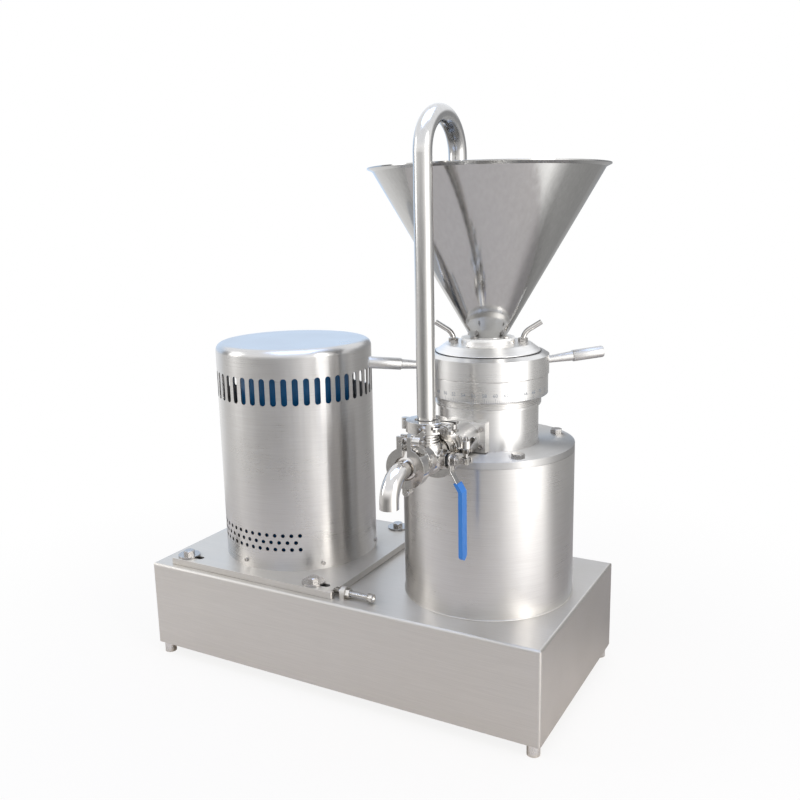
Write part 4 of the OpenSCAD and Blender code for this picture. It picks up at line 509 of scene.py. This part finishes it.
def coatFinish(name, values):
    material, tree, shader = newMaterial(name)
    place = addNode(tree, "ShaderNodeTexCoord")
    grain = addNode(tree, "ShaderNodeTexNoise", {"Vector": place.outputs["Object"],
                                                 "Scale": 1 / (values["grain"] * mm), "Detail": 3.0})
    wear = addNode(tree, "ShaderNodeTexNoise", {"Vector": place.outputs["Object"],
                                                "Scale": 1 / (grainValues["wear"] * mm), "Detail": 4.0})
    colour = addNode(tree, "ShaderNodeMix", {"Factor": wear.outputs[0], 6: linear(values["shade"]),
                                             7: linear(values["colour"])}, data_type="RGBA")
    low, high = values["rough"]
    least, most = grainValues["spread"]
    rough = addNode(tree, "ShaderNodeMapRange", {"Value": grain.outputs[0], "From Min": least,
                                                 "From Max": most, "To Min": low, "To Max": high})
    edge = addNode(tree, "ShaderNodeBevel", {"Radius": grainValues["edge"] * mm},
                   samples=grainValues["edgeSamples"])
    bump = addNode(tree, "ShaderNodeBump", {"Strength": values["bump"], "Distance": grainValues["depth"] * mm,
                                            "Height": grain.outputs[0], "Normal": edge.outputs[0]})
    tree.links.new(colour.outputs[2], shader.inputs["Base Color"])
    tree.links.new(rough.outputs[0], shader.inputs["Roughness"])
    tree.links.new(bump.outputs[0], shader.inputs["Normal"])
    return material


finishes = {name: steelFinish(name, values) for name, values in steelValues.items()}
finishes.update({name: coatFinish(name, values) for name, values in coatValues.items()})
print("finishes made:", len(finishes))


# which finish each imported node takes
nodeFinishes = {
    "rolledStainless": ["motor_cover", "mill_drum"],
    "foldedStainless": ["base_shell", "motor_plate"],
    "facedStainless": ["drum_lid"],
    "satinPaintedLightStainless": ["top_cover"],
    "turnedStainless": ["neck_casing", "scale_ring", "handle_ring", "rotor",
                        "rotor_nut", "stator_ring", "seal_head", "base_feet"],
    "milledStainless": ["outlet_block"],
    "spunStainless": ["hopper"],
    "drawnStainless": ["return_pipe"],
    "polishedStainless": ["spout", "water_nipples", "handle_left", "handle_right",
                          "valve_ball", "valve_stem"],
    "castStainless": ["jack_screws", "jack_nuts", "valve_body", "outlet_clamp", "spout_clamp", "return_clamp",
                      "outlet_wing_nut", "spout_wing_nut", "return_wing_nut", "valve_lever"],
    "headedStainless": ["motor_plate_bolts", "cover_screws", "motor_flange_bolts",
                        "pulley_nut", "lid_bolts", "stator_screws", "hopper_bolts", "outlet_screws",
                        "lever_nut", "clamp_pins"],
    "groundSteel": ["main_shaft", "motor_rotor", "motor_bearings", "mill_bearings", "bearing_inner_rings"],
    "dippedVinyl": ["lever_sleeve"],
    "blueEnamel": ["motor_frame", "motor_end_shields", "motor_fan_cowl"],
    "beltRubber": ["drive_belts"],
    "mouldedSilicone": ["clamp_gaskets"],
    "greyIron": ["motor_pulley", "mill_pulley", "bearing_housing"],
    "varnishedCopper": ["motor_stator"],
    "mouldedPlastic": ["motor_fan"],
    "lappedCarbide": ["seal_seat"],
}
for finish, nodes in nodeFinishes.items():
    for node in nodes:
        mesh = frame["nodes"][node].data
        mesh.materials.clear()
        mesh.materials.append(finishes[finish])
print("nodes finished:", sum(len(nodes) for nodes in nodeFinishes.values()))


# meshes: points merged within these distances in mm, angles in degrees
meshValues = {"merge": 0.0005, "nodeMerge": 0.002, "sharp": 35, "flat": 0.5, "corner": 30, "roundStep": 45}


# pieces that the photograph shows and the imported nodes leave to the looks
def addPiece(name, bm, finish, body):
    bmesh.ops.remove_doubles(bm, verts=bm.verts, dist=meshValues["merge"] * mm)
    bmesh.ops.recalc_face_normals(bm, faces=bm.faces)
    mesh = bpy.data.meshes.new(name)
    bm.to_mesh(mesh)
    bm.free()
    mesh.materials.append(finishes[finish])
    mesh.shade_smooth()
    mesh.set_sharp_from_angle(angle=math.radians(meshValues["sharp"]))
    piece = bpy.data.objects.new(name, mesh)
    bpy.context.scene.collection.objects.link(piece)
    if body:
        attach(piece, body)
    return piece


# an outline of (distance along the axis, radius) in mm, turned once or wound as a screw
def turnOutline(bm, outline, values, turns=1, lead=0, closed=True):
    start = Vector(values["origin"])
    along, out = Vector(values["along"]), Vector(values["out"])
    points = [(start + along * a + out * r) * mm for a, r in outline]
    verts = [bm.verts.new(point) for point in points]
    steps = values["steps"]
    if lead == 0:
        ends = verts[1:] + verts[:1] if closed else verts[1:]
        edges = [bm.edges.new((a, b)) for a, b in zip(verts, ends)]
        bmesh.ops.spin(bm, geom=verts + edges, cent=start * mm, axis=along, angle=2 * math.pi, steps=steps,
                       use_merge=True)
    else:
        face = bm.faces.new(verts)
        bmesh.ops.spin(bm, geom=[face] + face.edges[:] + verts, cent=start * mm, axis=along,
                       angle=2 * math.pi * turns, steps=int(steps * turns), dvec=along * lead / steps * mm)


# a round section about the axis, as such an outline
def roundSection(radius, thick):
    angles = [math.radians(a) for a in range(0, 360, meshValues["roundStep"])]
    return [(thick * math.sin(a), radius + thick * math.cos(a)) for a in angles]


# a ridge of a thread, wound from low to high; its flanks end at these shares of the pitch
def windRidge(bm, root, values, axis):
    low, pitch = values["low"], values["pitch"]
    rise, fall, foot = [low + share * pitch for share in values["flanks"]]
    outline = [(low, root), (rise, values["crest"]), (fall, values["crest"]), (foot, root)]
    turnOutline(bm, outline, axis, (values["high"] - low - pitch) / pitch, pitch)


# the adjusting thread that shows below the scale ring
threadValues = {"origin": (millAxis, 0, 0), "along": (0, 0, 1), "out": (1, 0, 0), "low": 527.2, "high": 542.6,
                "root": 89.7, "crest": 91.0, "pitch": 2.8, "flanks": (0.4, 0.55, 0.95), "steps": 96}


def makeThread(values):
    bm = bmesh.new()
    windRidge(bm, values["root"], values, values)
    addPiece("adjusting_thread", bm, "turnedStainless", "base")


# the O-ring between the cover's rim and the handle ring
oRingValues = {"origin": (millAxis, 0, 616.3), "along": (0, 0, 1), "out": (1, 0, 0), "radius": 89.65,
               "thick": 0.62, "steps": 128}
# the black washer between the valve's gland and its lever
washerValues = {"origin": (264.3, -232, 486), "along": (1, 0, 0), "out": (0, 0, 1), "bore": 6.3, "rim": 10.2,
                "width": 2.4, "edge": 0.5, "steps": 48}


def makeORing(values):
    bm = bmesh.new()
    turnOutline(bm, roundSection(values["radius"], values["thick"]), values)
    addPiece("rim_o_ring", bm, "nitrileRubber", "stator_group")


def makeWasher(values):
    bm = bmesh.new()
    width, edge, rim = values["width"], values["edge"], values["rim"]
    outline = [(0, values["bore"]), (0, rim - edge), (edge, rim), (width - edge, rim), (width, rim - edge),
               (width, values["bore"])]
    turnOutline(bm, outline, values)
    addPiece("stem_washer", bm, "nitrileRubber", "valve_spindle")


# the scale: a line every two degrees, a longer one every ten, and above it its number, in units of five
scaleValues = {"origin": (millAxis, 0), "radius": 102, "proud": 0.06, "sunk": 0.2, "foot": 544.6,
               "short": 4.5, "long": 7.5, "width": 0.45, "step": 2, "group": 10, "unit": 5,
               "numberFoot": 554.0, "numberSize": 8.0}


def makeScaleLines(values):
    bm = bmesh.new()
    depth = values["proud"] + values["sunk"]
    for degrees in range(0, 360, values["step"]):
        tall = values["long"] if degrees % values["group"] == 0 else values["short"]
        turn = Matrix.Rotation(math.radians(degrees), 4, "Z")
        middle = Vector((values["radius"] + values["proud"] - depth / 2, 0, values["foot"] + tall / 2)) * mm
        size = Matrix.Diagonal((depth * mm, values["width"] * mm, tall * mm, 1))
        axis = Matrix.Translation(Vector((*values["origin"], 0)) * mm)
        bmesh.ops.create_cube(bm, size=1, matrix=axis @ turn @ Matrix.Translation(middle) @ size)
    addPiece("scale_lines", bm, "engravedFill", "base")


def makeScaleNumbers(values):
    bm = bmesh.new()
    for degrees in range(0, 360, values["group"]):
        curve = bpy.data.curves.new("scaleNumber", "FONT")
        curve.body = str(degrees // values["unit"])
        curve.size = values["numberSize"] * mm
        curve.align_x = "CENTER"
        curve.extrude = values["proud"] * mm
        curve.resolution_u = 3
        lettering = bpy.data.objects.new("scaleNumber", curve)
        bpy.context.scene.collection.objects.link(lettering)
        bpy.context.view_layer.update()
        seen = lettering.evaluated_get(bpy.context.evaluated_depsgraph_get())
        made = seen.to_mesh()
        first = len(bm.verts)
        bm.from_mesh(made)
        bm.verts.ensure_lookup_table()
        for vert in bm.verts[first:]:
            across, up, out = vert.co
            angle = math.radians(degrees) + across / (values["radius"] * mm)
            radius = values["radius"] * mm + out
            vert.co = (values["origin"][0] * mm + radius * math.cos(angle), radius * math.sin(angle),
                       values["numberFoot"] * mm + up)
        seen.to_mesh_clear()
        bpy.data.objects.remove(lettering)
        bpy.data.curves.remove(curve)
    addPiece("scale_numbers", bm, "engravedFill", "base")


# handles: a tapered inner half, a step, a straight outer half and a flat end; along and radius in mm
handleValues = {"origin": (millAxis, 0, 584.55), "turn": {"left": 218, "right": 38}, "tilt": 5.6, "steps": 48,
                "outline": [(92.6, 0), (92.6, 5), (106.6, 5), (106.6, 5.4), (107.2, 6), (151, 8.4),
                            (151.6, 9.5), (152.4, 10), (204.6, 10), (206.6, 9.4), (207.4, 7.6), (207.5, 0)]}


def makeHandle(side, values):
    bm = bmesh.new()
    turn = math.radians(values["turn"][side])
    tilt = math.radians(values["tilt"])
    way = Vector((math.cos(turn), math.sin(turn), 0))
    up = Vector((0, 0, 1))
    frameValues = {"origin": values["origin"], "steps": values["steps"],
                   "along": way * math.cos(tilt) + up * math.sin(tilt),
                   "out": up * math.cos(tilt) - way * math.sin(tilt)}
    turnOutline(bm, values["outline"], frameValues, closed=False)
    piece = addPiece(side + "_grip", bm, "blastedStainless", side + "_handle")
    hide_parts("handle_" + side)


# beads of weld at the hopper's foot and the drum's foot: middle radius, height and bead radius in mm
weldValues = {"hopper_weld": {"origin": (millAxis, 0, 639.6), "radius": 29.4, "bead": 1.5,
                              "body": "stator_group", "finish": "castStainless"},
              "drum_weld": {"origin": (millAxis, 0, 188.6), "radius": 149.2, "bead": 1.3, "body": "base",
                            "finish": "foldedStainless"}}
weldSteps = 180


def makeWeld(name, values):
    bm = bmesh.new()
    axis = {"origin": values["origin"], "along": (0, 0, 1), "out": (1, 0, 0), "steps": weldSteps}
    turnOutline(bm, roundSection(values["radius"], values["bead"]), axis)
    addPiece(name, bm, values["finish"], values["body"])


# jack screws with a cut thread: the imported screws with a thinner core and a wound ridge
jackValues = {"rows": (-162, 162), "height": 197, "shank": 5, "core": 4.35, "crest": 4.95, "sunk": 0.1,
              "low": 14, "high": 72.5, "pitch": 2.0, "flanks": (0.42, 0.52, 0.94), "steps": 24, "near": 0.05}


def makeJackScrews(values):
    bm = bmesh.new()
    bm.from_mesh(frame["nodes"]["jack_screws"].data)
    bmesh.ops.remove_doubles(bm, verts=bm.verts, dist=meshValues["nodeMerge"] * mm)
    for vert in bm.verts:
        row = min(values["rows"], key=lambda y: abs(vert.co.y - y * mm))
        middle = Vector((vert.co.x, row * mm, values["height"] * mm))
        out = vert.co - middle
        if abs(out.length - values["shank"] * mm) < values["near"] * mm:
            vert.co = middle + out * values["core"] / values["shank"]
    for row in values["rows"]:
        axis = {"origin": (0, row, values["height"]), "along": (1, 0, 0), "out": (0, 0, 1),
                "steps": values["steps"]}
        windRidge(bm, values["core"] - values["sunk"], values, axis)
    piece = addPiece("threaded_jacks", bm, "castStainless", "motor_carriage")
    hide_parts("jack_screws")


# the belts: a copy of the imported belts, on no body, with their place baked in
def makeBelts():
    bm = bmesh.new()
    bm.from_mesh(frame["nodes"]["drive_belts"].data)
    piece = addPiece("tensioned_belts", bm, "beltRubber", None)
    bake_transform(piece)
    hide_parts("drive_belts")


makeBelts()
makeThread(threadValues)
makeORing(oRingValues)
makeWasher(washerValues)
makeScaleLines(scaleValues)
makeScaleNumbers(scaleValues)
for side in handleValues["turn"]:
    makeHandle(side, handleValues)
for name, values in weldValues.items():
    makeWeld(name, values)
makeJackScrews(jackValues)
print("belts, thread, ring, washer, scale, grips, welds and jack screws made")


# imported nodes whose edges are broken: edge in mm, finish, slot
softValues = {
    "motor_plate": (1.2, "foldedStainless", "brushed_sheet"),
    "outlet_block": (0.8, "milledStainless", "turned_steel"),
    "valve_lever": (0.7, "castStainless", "polished_steel"),
    "lever_sleeve": (1.4, "dippedVinyl", "blue_vinyl"),
    "drum_lid": (0.8, "facedStainless", "turned_steel"),
    "scale_ring": (0.5, "turnedStainless", "turned_steel"),
    "handle_ring": (0.6, "turnedStainless", "turned_steel"),
    "top_cover": (0.6, "satinPaintedLightStainless", "turned_steel"),
}
# the rings about the mill's axis have a wider chamfer on their outer rims, in mm
rimValues = {"scale_ring": 1.1, "handle_ring": 1.6}
# an outer rim is within this of the largest radius in mm, and turns by more than this in degrees
rimPick = {"within": 0.2, "corner": 60}
# the sleeve's closed end is a half round: middle, half width and foot in mm, and how near the cuts and the
# points come to its very end
sleeveEnd = {"middle": -232, "half": 8.3, "foot": 330.2, "cuts": 6, "cutReach": 0.97, "reach": 0.985}


def roundSleeve(bm, values):
    centre = values["foot"] + values["half"]
    for step in range(1, values["cuts"] + 1):
        turn = math.pi / 2 * (1 - step / values["cuts"]) * values["cutReach"]
        height = centre - values["half"] * math.sin(turn)
        bmesh.ops.bisect_plane(bm, geom=bm.verts[:] + bm.edges[:] + bm.faces[:], dist=0.001 * mm,
                               plane_co=(0, 0, height * mm), plane_no=(0, 0, 1))
    for vert in bm.verts:
        below = min(max(centre - vert.co.z / mm, 0), values["half"] * values["reach"])
        share = math.sqrt(1 - (below / values["half"]) ** 2)
        vert.co.y = values["middle"] * mm + (vert.co.y - values["middle"] * mm) * share


def chamferRim(bm, width):
    axis = Vector((millX, 0, 0))
    out = {v: ((v.co - axis) * Vector((1, 1, 0))).length for v in bm.verts}
    rim = max(out.values()) - rimPick["within"] * mm
    corner = math.radians(rimPick["corner"])
    outer = [e for e in bm.edges if min(out[v] for v in e.verts) > rim]
    edges = [e for e in outer if e.calc_face_angle(0) > corner]
    bmesh.ops.bevel(bm, geom=edges, offset=width * mm, offset_type="OFFSET", segments=1, profile=0.5,
                    affect="EDGES", clamp_overlap=True, material=-1)


def softenNode(node, edge, finish, slotName):
    source = frame["nodes"][node]
    body = next(name for name, empty in frame["bodies"].items() if empty == source.parent)
    bm = bmesh.new()
    bm.from_mesh(source.data)
    bmesh.ops.remove_doubles(bm, verts=bm.verts, dist=meshValues["nodeMerge"] * mm)
    bmesh.ops.dissolve_limit(bm, angle_limit=math.radians(meshValues["flat"]), verts=bm.verts, edges=bm.edges)
    bmesh.ops.recalc_face_normals(bm, faces=bm.faces)
    if node == "lever_sleeve":
        roundSleeve(bm, sleeveEnd)
    if node in rimValues:
        chamferRim(bm, rimValues[node])
    corner = math.radians(meshValues["corner"])
    sharp = [e for e in bm.edges if len(e.link_faces) == 2 and e.calc_face_angle() > corner]
    bmesh.ops.bevel(bm, geom=sharp, offset=edge * mm, offset_type="OFFSET", segments=2, profile=0.5,
                    affect="EDGES", clamp_overlap=True, material=-1)
    piece = addPiece("soft_" + node, bm, finish, body)
    even = piece.modifiers.new("evenShading", "WEIGHTED_NORMAL")
    even.keep_sharp = True
    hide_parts(node)


for node, values in softValues.items():
    softenNode(node, *values)
print("edges broken:", len(softValues))
